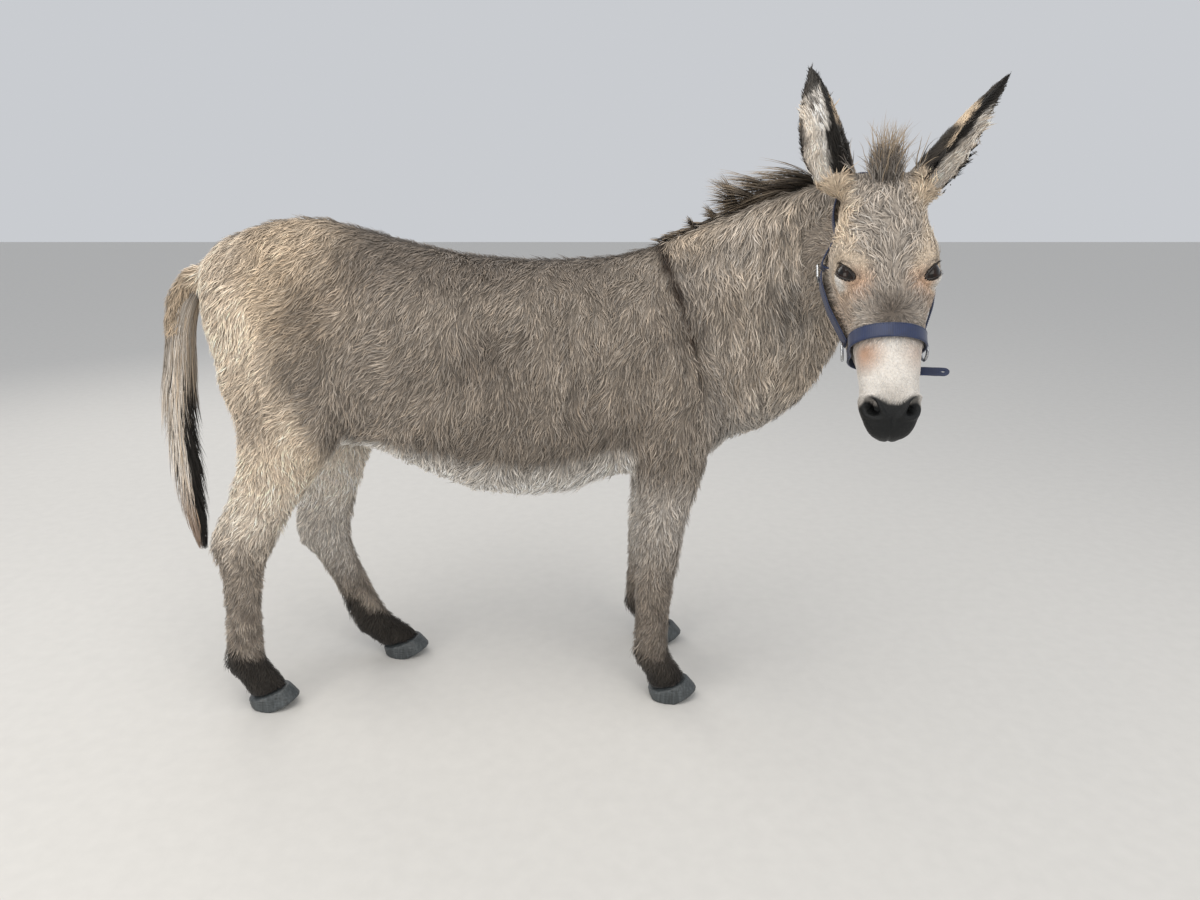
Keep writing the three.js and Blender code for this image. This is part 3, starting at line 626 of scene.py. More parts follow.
def markings(co, n, names, weight):
    """The coat's colour at each vertex, in linear light."""
    c = shades()
    x, y, z = co.T
    up = n[:, 2]
    # Trunk and neck: dun, with tan where the coat is bleached along the top and to the rear
    tone = np.tile(c["dun"], (len(co), 1))
    bleached = smooth(0.80, 0.97, z + 0.10 * smooth(-0.2, -0.5, x)) * smooth(-0.28, -0.50, x)
    tone = mix(tone, c["tan"], 0.80 * bleached)
    # Painted shade along the top of the back, which tones down the overhead light there
    tone = mix(tone, c["shade"],
               0.62 * smooth(0.84, 0.95, z) * smooth(-0.44, -0.32, x) * smooth(0.22, 0.1, x))
    brink = np.interp(z, (0.48, 0.56, 0.66, 0.80, 0.92), (-0.345, -0.41, -0.455, -0.52, -0.56))
    rear = smooth(0.025, -0.045, x - brink + 0.014 * waves(co, 0.09, 12))
    tone = mix(tone, c["buff"], 0.95 * rear)
    tone = mix(tone, c["shade"], 0.30 * near(co * (1, 0, 1), (-0.466, 0, 0.727), 0.09))
    # Painted shade on the lower barrel, which turns away from the light
    tone = mix(tone, c["shade"], 0.24 * smooth(0.84, 0.66, z) * smooth(-0.30, -0.1, x) * smooth(0.30, 0.1, x))
    tone = mix(tone, c["shade"], 0.14 * waves(co, 0.20, 14) ** 2)
    tone = mix(tone, c["silver"], 0.36 * smooth(0.29, 0.38, x) * (weight[:, NECK] + weight[:, TRUNK]))
    tone = mix(tone, c["tan"], 0.25 * weight[:, NECK] * (0.5 + 0.5 * waves(co, 0.12, 5)))
    # Belly and the insides of the legs
    under = smooth(-0.36, -0.68, up) * smooth(0.600, 0.570, z + 0.010 * waves(co, 0.05, 17))
    under = under * (weight[:, TRUNK] + weight[:, HINDS] + weight[:, FORES]) * smooth(-0.50, -0.36, x)
    tone = mix(tone, c["pale"], 0.92 * under)
    keel = smooth(0.0, -0.7, up) * smooth(0.36, 0.42, x) * smooth(0.72, 0.60, z) * (1 - weight[:, HEAD])
    tone = mix(tone, c["pale"], 0.40 * keel)
    # Streaks down the hair where it parts
    streak = waves(co * (1, 1, 0.22), 0.020, 18)
    tone = tone * (1 + 0.14 * streak * smooth(0.30, 0.45, x) + 0.15 * streak)[:, None]
    # Legs
    leg = weight[:, HINDS] + weight[:, FORES]
    side = np.where(y > MIDDLE, 1, -1)
    inner = smooth(0.2, -0.7, n[:, 1] * side) * leg
    slant = waves(co * (1, 1, 0.5) + np.stack([z * 0.5, 0 * z, 0 * z], 1), 0.014, 19)
    hind = mix(np.tile(c["buff"], (len(co), 1)), c["pale"], 0.35 * smooth(0.56, 0.40, z))
    hind = mix(hind, c["dun"], 0.95 * smooth(0.45, 0.34, z + 0.02 * slant))
    hind = mix(hind, c["shade"], 0.60 * smooth(0.34, 0.22, z) * smooth(-0.2, 0.9, slant))
    tone = mix(tone, hind, weight[:, HINDS] * smooth(0.62, 0.52, z + 0.30 * (x + 0.50)))
    fore = mix(np.tile(c["silver"], (len(co), 1)), c["dun"], smooth(0.46, 0.24, z))
    smoky = 0.35 * smooth(0.32, 0.18, z) + 0.40 * smooth(0.40, 0.25, z) * smooth(0.0, 0.9, slant)
    fore = mix(fore, c["shade"], smoky)
    tone = mix(tone, fore, 0.85 * weight[:, FORES] * smooth(0.56, 0.44, z))
    tone = mix(tone, c["pale"], 0.45 * inner * smooth(0.16, 0.30, z))
    ragged = z + 0.020 * waves(co, 0.05, 8) + 0.010 * slant
    dark = smooth(0.150, 0.105, ragged) * leg
    tone = mix(tone, c["black"], dark * (0.94 - 0.22 * weight[:, FORES] * smooth(0.05, 0.11, z)))
    # Stripes
    spine = smooth(0.017, 0.006, np.abs(y - MIDDLE)) * smooth(0.2, 0.7, up) * smooth(0.30, 0.2, x)
    tone = mix(tone, c["stripe"], 0.7 * spine * weight[:, TRUNK])
    wide = 0.0055 + 0.006 * smooth(0.86, 0.96, z)
    cross = smooth(1.5, 0.4, (stripe_distance(co) + 0.002 * waves(co, 0.03, 3)) / wide) * (1 - leg)
    cross = cross * smooth(0.65, 0.74, z)
    tone = mix(tone, c["stripe"], 0.95 * cross)
    # Dock: tan, with painted shade where it faces the buttocks and towards its root
    dock_shade = 0.55 * smooth(0.0, 0.8, n[:, 0]) + 0.35 * smooth(0.74, 0.82, z)
    dock = mix(np.tile(c["tan"], (len(co), 1)), c["shade"], dock_shade)
    dock = mix(dock, c["stripe"], smooth(0.80, 0.77, z))
    tone = mix(tone, dock, weight[:, DOCK])
    # Head
    face = head_markings(into(ON_HEAD, co), co, c)
    tone = mix(tone, face, smooth(0.25, 0.75, weight[:, HEAD]))
    # Ears
    e = ear_places(co, names)
    ear = ear_markings(e, n, names, c)
    return mix(tone, ear, smooth(0.2, 0.7, weight[:, EAR]))


def head_markings(q, co, c):
    """The head's colours, for places q in its frame: dun, tan temples, rusty round the eyes, pale muzzle."""
    x, y, z = q.T
    side = np.abs(y)
    folded = np.stack([x, side, z], 1)
    tone = np.tile(mix(c["dun"], c["silver"], 0.30), (len(q), 1))
    ruddy = mix(c["tan"], c["rust"], 0.45)
    tone = mix(tone, c["silver"], 0.4 * smooth(0.040, 0.064, side) * smooth(0.26, 0.16, x))
    temple = smooth(0.040, 0.070, side + 0.006 * waves(co, 0.05, 51)) * smooth(0.20, 0.10, x)
    tone = mix(tone, c["tan"], 0.85 * temple)
    tone = mix(tone, ruddy, 0.55 * smooth(0.046, 0.070, side) * smooth(0.16, 0.22, x))  # cheeks
    tone = mix(tone, c["shade"], 0.95 * near(q, (WHORL - 0.004, 0, -0.005), 0.054))
    tone = mix(tone, c["dun"], smooth(-0.085, -0.120, z) * smooth(0.26, 0.20, x))  # the jowl
    tone = mix(tone, c["shade"], 0.10 * smooth(0.10, 0.16, x) * smooth(0.045, 0.02, side))  # the bridge
    tone = mix(tone, c["shade"], 0.30 * smooth(-0.04, 0.02, z) * smooth(0.05, 0.0, x))
    tone = mix(tone, c["black"], 0.90 * near(folded, (-0.014, 0.058, -0.022), 0.040))  # before the ears
    from_eye = np.linalg.norm(folded - np.array(EYE_AT), axis=1)
    tone = mix(tone, c["tan"], 0.45 * smooth(0.050, 0.030, from_eye))
    tone = mix(tone, c["rust"], 0.60 * near(folded, (0.208, 0.052, -0.010), 0.042))
    for at in SIDES.values():
        e = into(eye_frame(at), co)
        beyond = outside_slit(e, at)
        ahead = (e[:, 0] > 0) & (beyond < 0.04)
        tone = mix(tone, c["pale"], 0.95 * ahead * near(e * (0, 1, 0.85), (0, -0.001 * at, -0.0170), 0.023))
        # Painted shade in the crease of the upper lid
        fold = np.exp(-((beyond - 0.0075) / 0.0022) ** 2) * smooth(0, 0.006, e[:, 2])
        tone = mix(tone, c["shade"], 0.6 * ahead * fold)
        tone = mix(tone, c["black"], 0.85 * ahead * smooth(0.0036, 0.0010, beyond))
    # Pale muzzle below the noseband, rusty at its sides, then the bare slate nose
    wave = 0.006 * waves(co, 0.04, 21)
    muzzle = smooth(0.288, 0.312, x + wave + 0.10 * np.minimum(z + 0.02, 0))
    tone = mix(tone, c["pale"] * 0.88, 0.95 * muzzle)
    rusty = near(folded, (0.322, 0.047, -0.022), 0.050) * (0.4 + 0.6 * smooth(0.01, -0.01, y))
    tone = mix(tone, c["rust"], muzzle * rusty)
    tone = mix(tone, c["shade"], 0.30 * smooth(0.36, 0.40, x) * smooth(0.030, 0.012, side))
    tone = mix(tone, c["shade"], 0.55 * smooth(0.380, 0.398, x) * smooth(-0.02, -0.07, z))
    return mix(tone, c["slate"], nose_mask(q, co))


def nose_mask(q, co):
    """Where the nose and lips are bare: below the nostrils' tops, with pale hair dipping between them."""
    x, y, z = q.T
    edge = x + 0.45 * np.clip(np.abs(y) - 0.008, 0, 0.026) + 0.35 * np.clip(z + 0.062, -0.05, 0)
    edge = edge - 1.5 * np.clip(np.abs(y) - 0.041, 0, 0.010)
    return smooth(0.399, 0.413, edge + 0.003 * waves(co, 0.03, 22))


def ear_markings(e, n, names, c):
    """Cream hollows with dark edges, widest on the inner side; tan backs with a dark root patch and tip."""
    t = np.clip(e[:, 0] / EAR_LENGTH, 0, 1)
    half = EAR_HALF_WIDTH * (0.8 + 0.9 * t - 1.2 * t * t) * np.sqrt(np.maximum(1 - t ** 4, 0.04))
    inside, inward = np.zeros(len(e)), np.zeros(len(e))
    for name, sign in zip(EARS, (-1, 1)):
        at = names == FLESH.index(name)
        inside[at] = smooth(-0.15, 0.25, n[at] @ turned(EAR_FRAMES[name], (0, 0, 1)))
        inward[at] = sign * e[at, 1] / half[at]
    ragged = inward + 0.07 * waves(e * (0.35, 1, 1), 0.012, 61)
    left = names == FLESH.index("ear_left")
    out = mix(np.tile(c["tan"], (len(e), 1)), c["dun"], 0.5 * smooth(0.5, 0.1, t))
    out = mix(out, c["black"], 0.95 * np.maximum(smooth(0.02, 0.07, t), smooth(-0.1, 0.3, ragged))
              * smooth(0.50, 0.42, t + 0.03 * ragged))
    out = mix(out, c["black"], 0.95 * smooth(0.62, 0.70, t))
    # The hollow: cream, streaked dark down its middle, with a dark tip
    streaks = smooth(0.55, 0.15, np.abs(ragged + 0.18)) * smooth(0.12, 0.30, t) * smooth(0.85, 0.65, t)
    hollow = mix(np.tile(c["pale"], (len(e), 1)), c["tan"], 0.45 * smooth(0.2, 0.7, np.abs(ragged)))
    hollow = mix(hollow, c["stripe"], 0.85 * streaks * smooth(0.1, 0.8, waves(e * (0.2, 1, 1), 0.006, 62)))
    hollow = mix(hollow, c["black"], 0.95 * smooth(0.70, 0.80, t - 0.05 * ragged))
    # A dark band along its inner edge, broad at the root; on the left ear the tan back shows over it
    edge = np.interp(t, (0.0, 0.12, 0.38, 0.50, 0.75, 0.9), (-0.10, -0.30, -0.12, 0.36, 0.50, 0.2))
    edge = np.where(left, np.interp(t, (0.0, 0.1, 0.5, 0.9), (-0.2, -0.55, -0.45, -0.35)), edge)
    fair = np.where(left, np.interp(t, (0.22, 0.36, 0.50, 0.58, 0.66), (1.1, 0.35, -0.05, 0.2, 1.1)),
                    np.interp(t, (0.30, 0.40, 0.52, 0.60), (1.1, 0.80, 0.80, 1.1)))
    banded = mix(np.tile(c["black"], (len(e), 1)), c["tan"], 0.95 * smooth(fair - 0.06, fair + 0.08, ragged))
    hollow = mix(hollow, banded, smooth(edge - 0.07, edge + 0.09, ragged))
    hollow = mix(hollow, c["black"], 0.9 * smooth(-0.76, -0.90, inward) * smooth(0.25, 0.40, t) * ~left)
    tone = mix(out, hollow, inside)
    tuft = smooth(0.16, 0.06, t) * smooth(0.1, 0.5, inside) * smooth(-0.15, -0.45, ragged)
    return mix(tone, c["pale"] * 0.9, tuft)


def fields(shell):
    """What the coat needs at each of the skin's vertices."""
    coat = settings("coat")
    co, n = shell.co, shell.normals()
    names = labels(co)
    part = np.array([PART_OF[name] for name in FLESH])[names]
    weight = relax(np.eye(7)[part], shell.edges, 10)
    x, y, z = co.T

    # The lie of the coat
    rear = smooth(-0.05, -0.42, x)[:, None]
    barrel = np.array((-0.20, 0, -1.0)) * (1 - rear) + np.array((-0.72, 0, -0.72)) * rear
    aside = np.clip((y - MIDDLE) / 0.06, -1, 1) * smooth(0.1, 0.9, n[:, 2])
    barrel = barrel + aside[:, None] * (0, 0.85, 0)
    neck = np.array((0.10, 0, -1.0))
    ahead = smooth(0.22, 0.36, x)[:, None]
    flow = {TRUNK: barrel * (1 - ahead) + neck * ahead, NECK: np.tile(neck, (len(co), 1)),
            DOCK: np.tile((-0.25, 0, -1.0), (len(co), 1)), HINDS: np.tile((-0.30, 0, -1.0), (len(co), 1)),
            FORES: np.tile((-0.22, 0, -1.0), (len(co), 1))}
    q = into(ON_HEAD, co)
    out = np.stack([q[:, 0] - WHORL, 1.5 * q[:, 1], 0 * q[:, 0]], 1)
    out[:, 0] += 0.02 * np.sign(out[:, 0])
    cheek = smooth(-0.035, -0.080, q[:, 2])[:, None]
    down = np.tile((-0.45, 0.0, -0.9), (len(co), 1))
    down[:, 0] = np.where(q[:, 0] > 0.30, 0.35, -0.45)
    flow[HEAD] = turned(ON_HEAD, unit(out) * (1 - cheek) + down * cheek)
    ear = np.zeros((len(co), 3))
    e = ear_places(co, names)
    for name in EARS:
        at = names == FLESH.index(name)
        far = 5.0 + 22.0 * smooth(0.17, 0.22, e[at, 0]) + 6.0 * smooth(0.09, 0.03, e[at, 0])
        spread = np.stack([np.full(at.sum(), 1.0), far * e[at, 1], 0 * e[at, 1]], 1)
        ear[at] = turned(EAR_FRAMES[name], spread)
    flow[EAR] = ear
    lie = sum(weight[:, [k]] * unit(v) for k, v in flow.items())
    lie = relax(flat(lie, n), shell.edges, 4)
    lie = flat(lie, n)

    # Lengths, widths, how far the tips stand off, and the skin that one tuft covers
    low = smooth(0.42, 0.14, z)
    under = smooth(-0.2, -0.8, n[:, 2])
    trunk = coat.trunk + (coat.belly - coat.trunk) * under * smooth(0.70, 0.56, z)
    trunk = trunk + (coat.neck - trunk) * smooth(0.28, 0.40, x)
    leg = coat.leg + (coat.pastern - coat.leg) * low
    leg = leg + 0.016 * np.exp(-((z - 0.125) / 0.030) ** 2) * smooth(0.1, -0.7, n[:, 0])
    front = smooth(0.17, 0.27, q[:, 0])
    face = coat.forehead + (coat.face - coat.forehead) * front
    face = face + (0.018 - face) * smooth(-0.03, -0.075, q[:, 2]) * smooth(0.30, 0.22, q[:, 0])
    face = face + (coat.muzzle - face) * smooth(0.285, 0.335, q[:, 0])
    from_eye = np.linalg.norm(np.stack([q[:, 0], np.abs(q[:, 1]), q[:, 2]], 1) - np.array(EYE_AT), axis=1)
    lids = smooth(0.050, 0.030, from_eye)
    for root, _, _ in EAR_SHAPES.values():
        face = face * (1 - 0.62 * near(q, root, 0.085))
    face = face + (0.0045 - face) * lids
    t = np.clip(e[:, 0] / EAR_LENGTH, 0, 1)
    within = np.zeros(len(co))
    for name in EARS:
        at = names == FLESH.index(name)
        within[at] = smooth(-0.1, 0.4, n[at] @ turned(EAR_FRAMES[name], (0, 0, 1)))
    # Longest in the ears' hollows, and short where they join the head
    ear_hair = coat.ear * (1 - 0.3 * t + 0.5 * within * smooth(0.9, 0.6, t))
    ear_hair = ear_hair * (1 - 0.55 * smooth(0.16, 0.06, t))
    length = {TRUNK: trunk, NECK: np.full(len(co), coat.neck), HEAD: face, DOCK: np.full(len(co), coat.dock),
              HINDS: leg, FORES: leg, EAR: ear_hair}
    length = sum(weight[:, k] * v for k, v in length.items())
    bare = nose_mask(q, co) * weight[:, HEAD]
    joint = weight[:, EAR] * (1 - weight[:, EAR])
    length = length * (1 - 2.2 * joint)
    width = 0.0009 + 0.050 * length
    limb = weight[:, HINDS] + weight[:, FORES]
    lift = 0.0003 + 0.145 * length * (1 - weight[:, HEAD] * 0.15 + 0.45 * limb)
    lift = lift * (1 - 0.6 * weight[:, HEAD] * smooth(0.29, 0.33, q[:, 0])) * (1 - 2.4 * joint)
    cover = width * length * (0.44 + 0.10 * limb)
    cover = np.maximum(cover, 4.6e-6)

    tone = markings(co, n, names, weight)
    return dict(normal=n, lie=lie, length=length, width=width, lift=lift, cover=cover, tone=tone, bare=bare,
                lids=lids, part=part, names=names, weight=weight, head=q, ear=e)


def hide_material():
    """Hide, haired and matt, which shows between the tufts, and bare leathery skin on the nose."""
    made, tree = material("Hide, short-haired and matt")
    tone = node(tree, "ShaderNodeAttribute", attribute_name="Tone").outputs["Color"]
    bare = node(tree, "ShaderNodeAttribute", attribute_name="Bare").outputs["Fac"]
    place = node(tree, "ShaderNodeTexCoord").outputs["Object"]
    # Undercoat clumps about 4 mm across
    clumps = node(tree, "ShaderNodeTexNoise", {"Vector": place, "Scale": 240.0, "Detail": 3.0}).outputs["Fac"]
    mottle = node(tree, "ShaderNodeMapRange", {"Value": clumps, 1: 0.3, 2: 0.7, 3: 0.72, 4: 1.08}).outputs[0]
    base = node(tree, "ShaderNodeMix", {"Factor": 1.0, 6: tone, 7: mottle}, data_type="RGBA",
                blend_type="MULTIPLY").outputs[2]
    # Pores and creases of bare skin, about 1.5 mm apart
    cells = node(tree, "ShaderNodeTexVoronoi", {"Vector": place, "Scale": 620.0}).outputs["Distance"]
    grain = node(tree, "ShaderNodeMix", {0: bare, 2: clumps, 3: cells}).outputs[0]
    bump = node(tree, "ShaderNodeBump", {"Height": grain, "Strength": 0.5, "Distance": 0.0012}).outputs[0]
    rough = node(tree, "ShaderNodeMapRange", {"Value": bare, 3: 0.85, 4: 0.5}).outputs[0]
    surface(tree, node(tree, "ShaderNodeBsdfPrincipled", {
        "Base Color": base, "Roughness": rough, "Specular IOR Level": 0.3, "Normal": bump}))
    return made


class DONKEY_OT_skin(bpy.types.Operator):
    """Joins the flesh nodes into one skin, sinks it by the coat's depth and sculpts the face"""

    bl_idname = "donkey.skin"
    bl_label = "Skin"

    def execute(self, context):
        shell = make_skin()
        found = fields(shell)
        skin.update(found, shell=shell, tree=shell.tree())
        # The undercoat is in the tufts' shade
        under = 0.80 + 0.2 * found["bare"] + 0.15 * found["weight"][:, HEAD]
        paint(shell.mesh, "Tone", found["tone"] * under[:, None])
        keep(shell.mesh, "Bare", found["bare"])
        for side in SIDES.values():
            rims.append(new_mesh("rim", *lid_rim(side)))
        piece = shown(shell.mesh, "skin")
        unwrap_skin(piece.data, found)
        finished(piece, "coat", *FLESH, material=hide_material())
        return {"FINISHED"}


def lid_rim(side):
    """The dark edge of an eye's lids: a soft cord of bare skin round the slit."""
    turns, around = 72, 8
    t = np.linspace(0, math.tau, turns, endpoint=False)
    along, across = slit(t, side)
    out = np.sqrt(np.maximum((EYE_RADIUS + 0.0006) ** 2 - along ** 2 - across ** 2, 1e-8))
    centre = np.stack([out, along, across], 1)
    forward = unit(np.roll(centre, -1, 0) - np.roll(centre, 1, 0))
    outward = unit(centre)
    sideways = unit(np.cross(forward, outward))
    thick = 0.0013 + 0.0004 * (np.sin(t) > 0)
    rings = []
    for k in range(around):
        a = math.tau * k / around
        rings.append(centre + thick[:, None] * (outward * math.cos(a) * 0.9 + sideways * math.sin(a) * 1.25))
    vertices = np.stack(rings, 1).reshape(-1, 3)
    faces = []
    for i in range(turns):
        j = (i + 1) % turns
        for k in range(around):
            m = (k + 1) % around
            faces.append([i * around + k, i * around + m, j * around + m, j * around + k])
    return out_of(eye_frame(side), vertices), faces


# ---- Unwrapping ----


class Charts:
    """A flat unwrap: faces grouped by the way they look and by part, packed into a unit square."""

    def __init__(self, corners, normals, groups, gap=0.006):
        self.gap = gap
        axis = np.abs(normals).argmax(1)
        self.axis = axis
        sign = normals[np.arange(len(axis)), axis] < 0
        self.key = groups * 6 + axis * 2 + sign
        boxes = []
        for key in np.unique(self.key):
            at = corners[self.key == key]
            a, b = [k for k in range(3) if k != (key % 6) // 2]
            low = np.array([at[..., a].min(), at[..., b].min()])
            high = np.array([at[..., a].max(), at[..., b].max()])
            span = high - low
            turn = span[1] > span[0]
            boxes.append((key, a, b, low, span[::-1] if turn else span, turn))
        boxes.sort(key=lambda box: -box[4][1])
        small, large = 0.0, 50.0
        for _ in range(40):
            scale = (small + large) / 2
            if self.pack(boxes, scale):
                small = scale
            else:
                large = scale
        self.pack(boxes, small)
        self.scale = small

    def pack(self, boxes, scale):
        self.places = {}
        x, y, row = self.gap, self.gap, 0.0
        for key, a, b, low, span, turn in boxes:
            w, h = span * scale
            if x + w + self.gap > 1:
                x, y, row = self.gap, y + row + self.gap, 0.0
            if x + w + self.gap > 1 or y + h + self.gap > 1:
                return False
            self.places[key] = (a, b, low, turn, np.array([x, y]))
            x += w + self.gap
            row = max(row, h)
        return True

    def uv(self, keys, points):
        """Places on the unwrap of points on faces with these keys; points may have a corner axis."""
        result = np.zeros(points.shape[:-1] + (2,))
        for key, (a, b, low, turn, place) in self.places.items():
            at = keys == key
            flatly = (points[at][..., (a, b)] - low) * self.scale
            result[at] = (flatly[..., ::-1] if turn else flatly) + place
        return result


def unwrap_skin(mesh, found):
    shell = skin["shell"]
    count = len(mesh.polygons)
    normals = np.empty(count * 3)
    mesh.polygons.foreach_get("normal", normals)
    normals = normals.reshape(-1, 3)
    start = np.empty(count, int)
    total = np.empty(count, int)
    mesh.polygons.foreach_get("loop_start", start)
    mesh.polygons.foreach_get("loop_total", total)
    corner = np.empty(len(mesh.loops), int)
    mesh.loops.foreach_get("vertex_index", corner)
    groups = found["names"][corner[start]]
    face_of = np.repeat(np.arange(count), total)
    charts = Charts(shell.co[corner[start]][:, None, :], normals, groups)
    layer = mesh.uv_layers.new(name="OFBake")
    uv = charts.uv(charts.key[face_of], shell.co[corner])
    layer.data.foreach_set("uv", np.clip(uv, 0, 1).astype(np.float32).ravel())


# ---- Strands: tufts, locks and lashes ----


def strands(name, paths, half, thick, ups, tones, places, patch, softness=0.7):
    """Closed three-sided blades along paths (count, stations, 3): half widths, thicknesses and ups for each
    station but the tip, tones for every station, and a patch of the unwrap for each blade."""
    count, stations = paths.shape[:2]
    rings = stations - 1
    along = np.empty_like(paths)
    along[:, 1:-1] = paths[:, 2:] - paths[:, :-2]
    along[:, 0] = paths[:, 1] - paths[:, 0]
    along[:, -1] = paths[:, -1] - paths[:, -2]
    along = unit(along)
    right = unit(np.cross(along, ups))
    up = unit(np.cross(right, along))
    mid = paths[:, :rings]
    r, u = right[:, :rings] * half[..., None], up[:, :rings] * thick[..., None]
    ring = np.stack([mid - r, mid + r, mid + u], 2).reshape(count, rings * 3, 3)
    vertices = np.concatenate([ring, paths[:, -1:]], 1)
    own = np.stack([-right[:, :rings], right[:, :rings], up[:, :rings]], 2).reshape(count, rings * 3, 3)
    own = np.concatenate([own, along[:, -1:]], 1)
    lean = np.concatenate([np.repeat(ups[:, :rings], 3, 1), ups[:, -1:]], 1)
    normals = unit(lean * softness + own * (1 - softness))
    colours = np.concatenate([np.repeat(tones[:, :rings], 3, 1), tones[:, -1:]], 1)

    faces, uv = [[0, 1, 2]], [[(0.0, 0.0), (1.0, 0.0), (0.5, 0.10)]]
    rise = 0.88 / rings
    for i in range(rings - 1):
        a, b = 3 * i, 3 * i + 3
        low, high = 0.12 + i * rise, 0.12 + (i + 1) * rise
        for k, (p, q) in enumerate([(1, 0), (2, 1), (0, 2)]):
            left, rightmost = k / 3 + 0.02, (k + 1) / 3 - 0.02
            faces.append([a + p, a + q, b + q, b + p])
            uv.append([(left, low), (rightmost, low), (rightmost, high), (left, high)])
    a, tip = 3 * (rings - 1), 3 * rings
    low = 0.12 + (rings - 1) * rise
    for k, (p, q) in enumerate([(1, 0), (2, 1), (0, 2)]):
        left, rightmost = k / 3 + 0.02, (k + 1) / 3 - 0.02
        faces.append([a + p, a + q, tip])
        uv.append([(left, low), (rightmost, low), ((left + rightmost) / 2, 1.0)])
    sizes = np.array([len(f) for f in faces])
    each = 3 * rings + 1
    corners = np.concatenate(faces)
    corner = (corners[None] + each * np.arange(count)[:, None]).ravel()
    mesh = bpy.data.meshes.new(name)
    mesh.vertices.add(count * each)
    mesh.vertices.foreach_set("co", vertices.ravel())
    mesh.loops.add(len(corner))
    mesh.loops.foreach_set("vertex_index", corner)
    mesh.polygons.add(count * len(faces))
    starts = np.concatenate([[0], np.cumsum(np.tile(sizes, count))[:-1]])
    mesh.polygons.foreach_set("loop_start", starts)
    mesh.polygons.foreach_set("loop_total", np.tile(sizes, count))
    mesh.update(calc_edges=True)
    mesh.validate()
    layer = mesh.uv_layers.new(name="OFBake")
    local = np.concatenate(uv)
    patch = np.broadcast_to(np.asarray(patch, float), (2,))
    spots = places[:, None, :] + (local[None] - 0.5) * patch
    layer.data.foreach_set("uv", np.clip(spots, 0, 1).astype(np.float32).ravel())
    paint(mesh, "Tone", colours.reshape(-1, 3))
    mesh.polygons.foreach_set("use_smooth", np.ones(len(mesh.polygons), bool))
    mesh.normals_split_custom_set_from_vertices(normals.reshape(-1, 3))
    return shown(mesh, name)


def hair_material(name, roughness, sheen):
    """Hair, lying in bunches: soft and nearly matt, lighter where it turns to the light."""
    made, tree = material(name)
    tone = node(tree, "ShaderNodeAttribute", attribute_name="Tone").outputs["Color"]
    place = node(tree, "ShaderNodeTexCoord").outputs["Object"]
    # Hairs bunch and fade over about 2 mm
    hairs = node(tree, "ShaderNodeTexNoise", {"Vector": place, "Scale": 480.0, "Detail": 2.0}).outputs["Fac"]
    mottle = node(tree, "ShaderNodeMapRange", {"Value": hairs, 1: 0.3, 2: 0.7, 3: 0.86, 4: 1.12}).outputs[0]
    base = node(tree, "ShaderNodeMix", {"Factor": 1.0, 6: tone, 7: mottle}, data_type="RGBA",
                blend_type="MULTIPLY").outputs[2]
    shader = node(tree, "ShaderNodeBsdfPrincipled", {
        "Base Color": base, "Roughness": roughness, "IOR": 1.55, "Specular IOR Level": 0.3,
        "Sheen Weight": sheen, "Sheen Roughness": 0.5})
    surface(tree, shader)
    return made


def rooted(faces, rng):
    """Evenly spread roots on the given triangles of the skin: the triangle of each, and its weights there."""
    shell = skin["shell"]
    corner = shell.co[shell.triangles[faces]]
    area = np.linalg.norm(np.cross(corner[:, 1] - corner[:, 0], corner[:, 2] - corner[:, 0]), axis=1) / 2
    wanted = area / skin["cover"][shell.triangles[faces]].mean(1)
    wanted = wanted * (skin["bare"][shell.triangles[faces]].mean(1) < 0.5)
    wanted = wanted * (skin["shut"][faces] == 0)
    total = np.cumsum(wanted)
    count = int(total[-1])
    spots = (np.arange(count) + rng.uniform(size=count)) / count * total[-1]
    chosen = faces[np.searchsorted(total, spots)]
    a, b = np.sqrt(rng.uniform(size=count)), rng.uniform(size=count)
    return chosen, np.stack([1 - a, a * (1 - b), a * b], 1)


def at_roots(values, chosen, share):
    corner = values[skin["shell"].triangles[chosen]]
    if values.ndim == 1:
        return (corner * share).sum(1)
    return (corner * share[..., None]).sum(1)


def onto_skin(points):
    """The nearest places on the skin, with the normals there."""
    find = skin["tree"].find_nearest
    hits = [find(p) for p in points.tolist()]
    return np.array([h[0] for h in hits]), np.array([h[1] for h in hits])


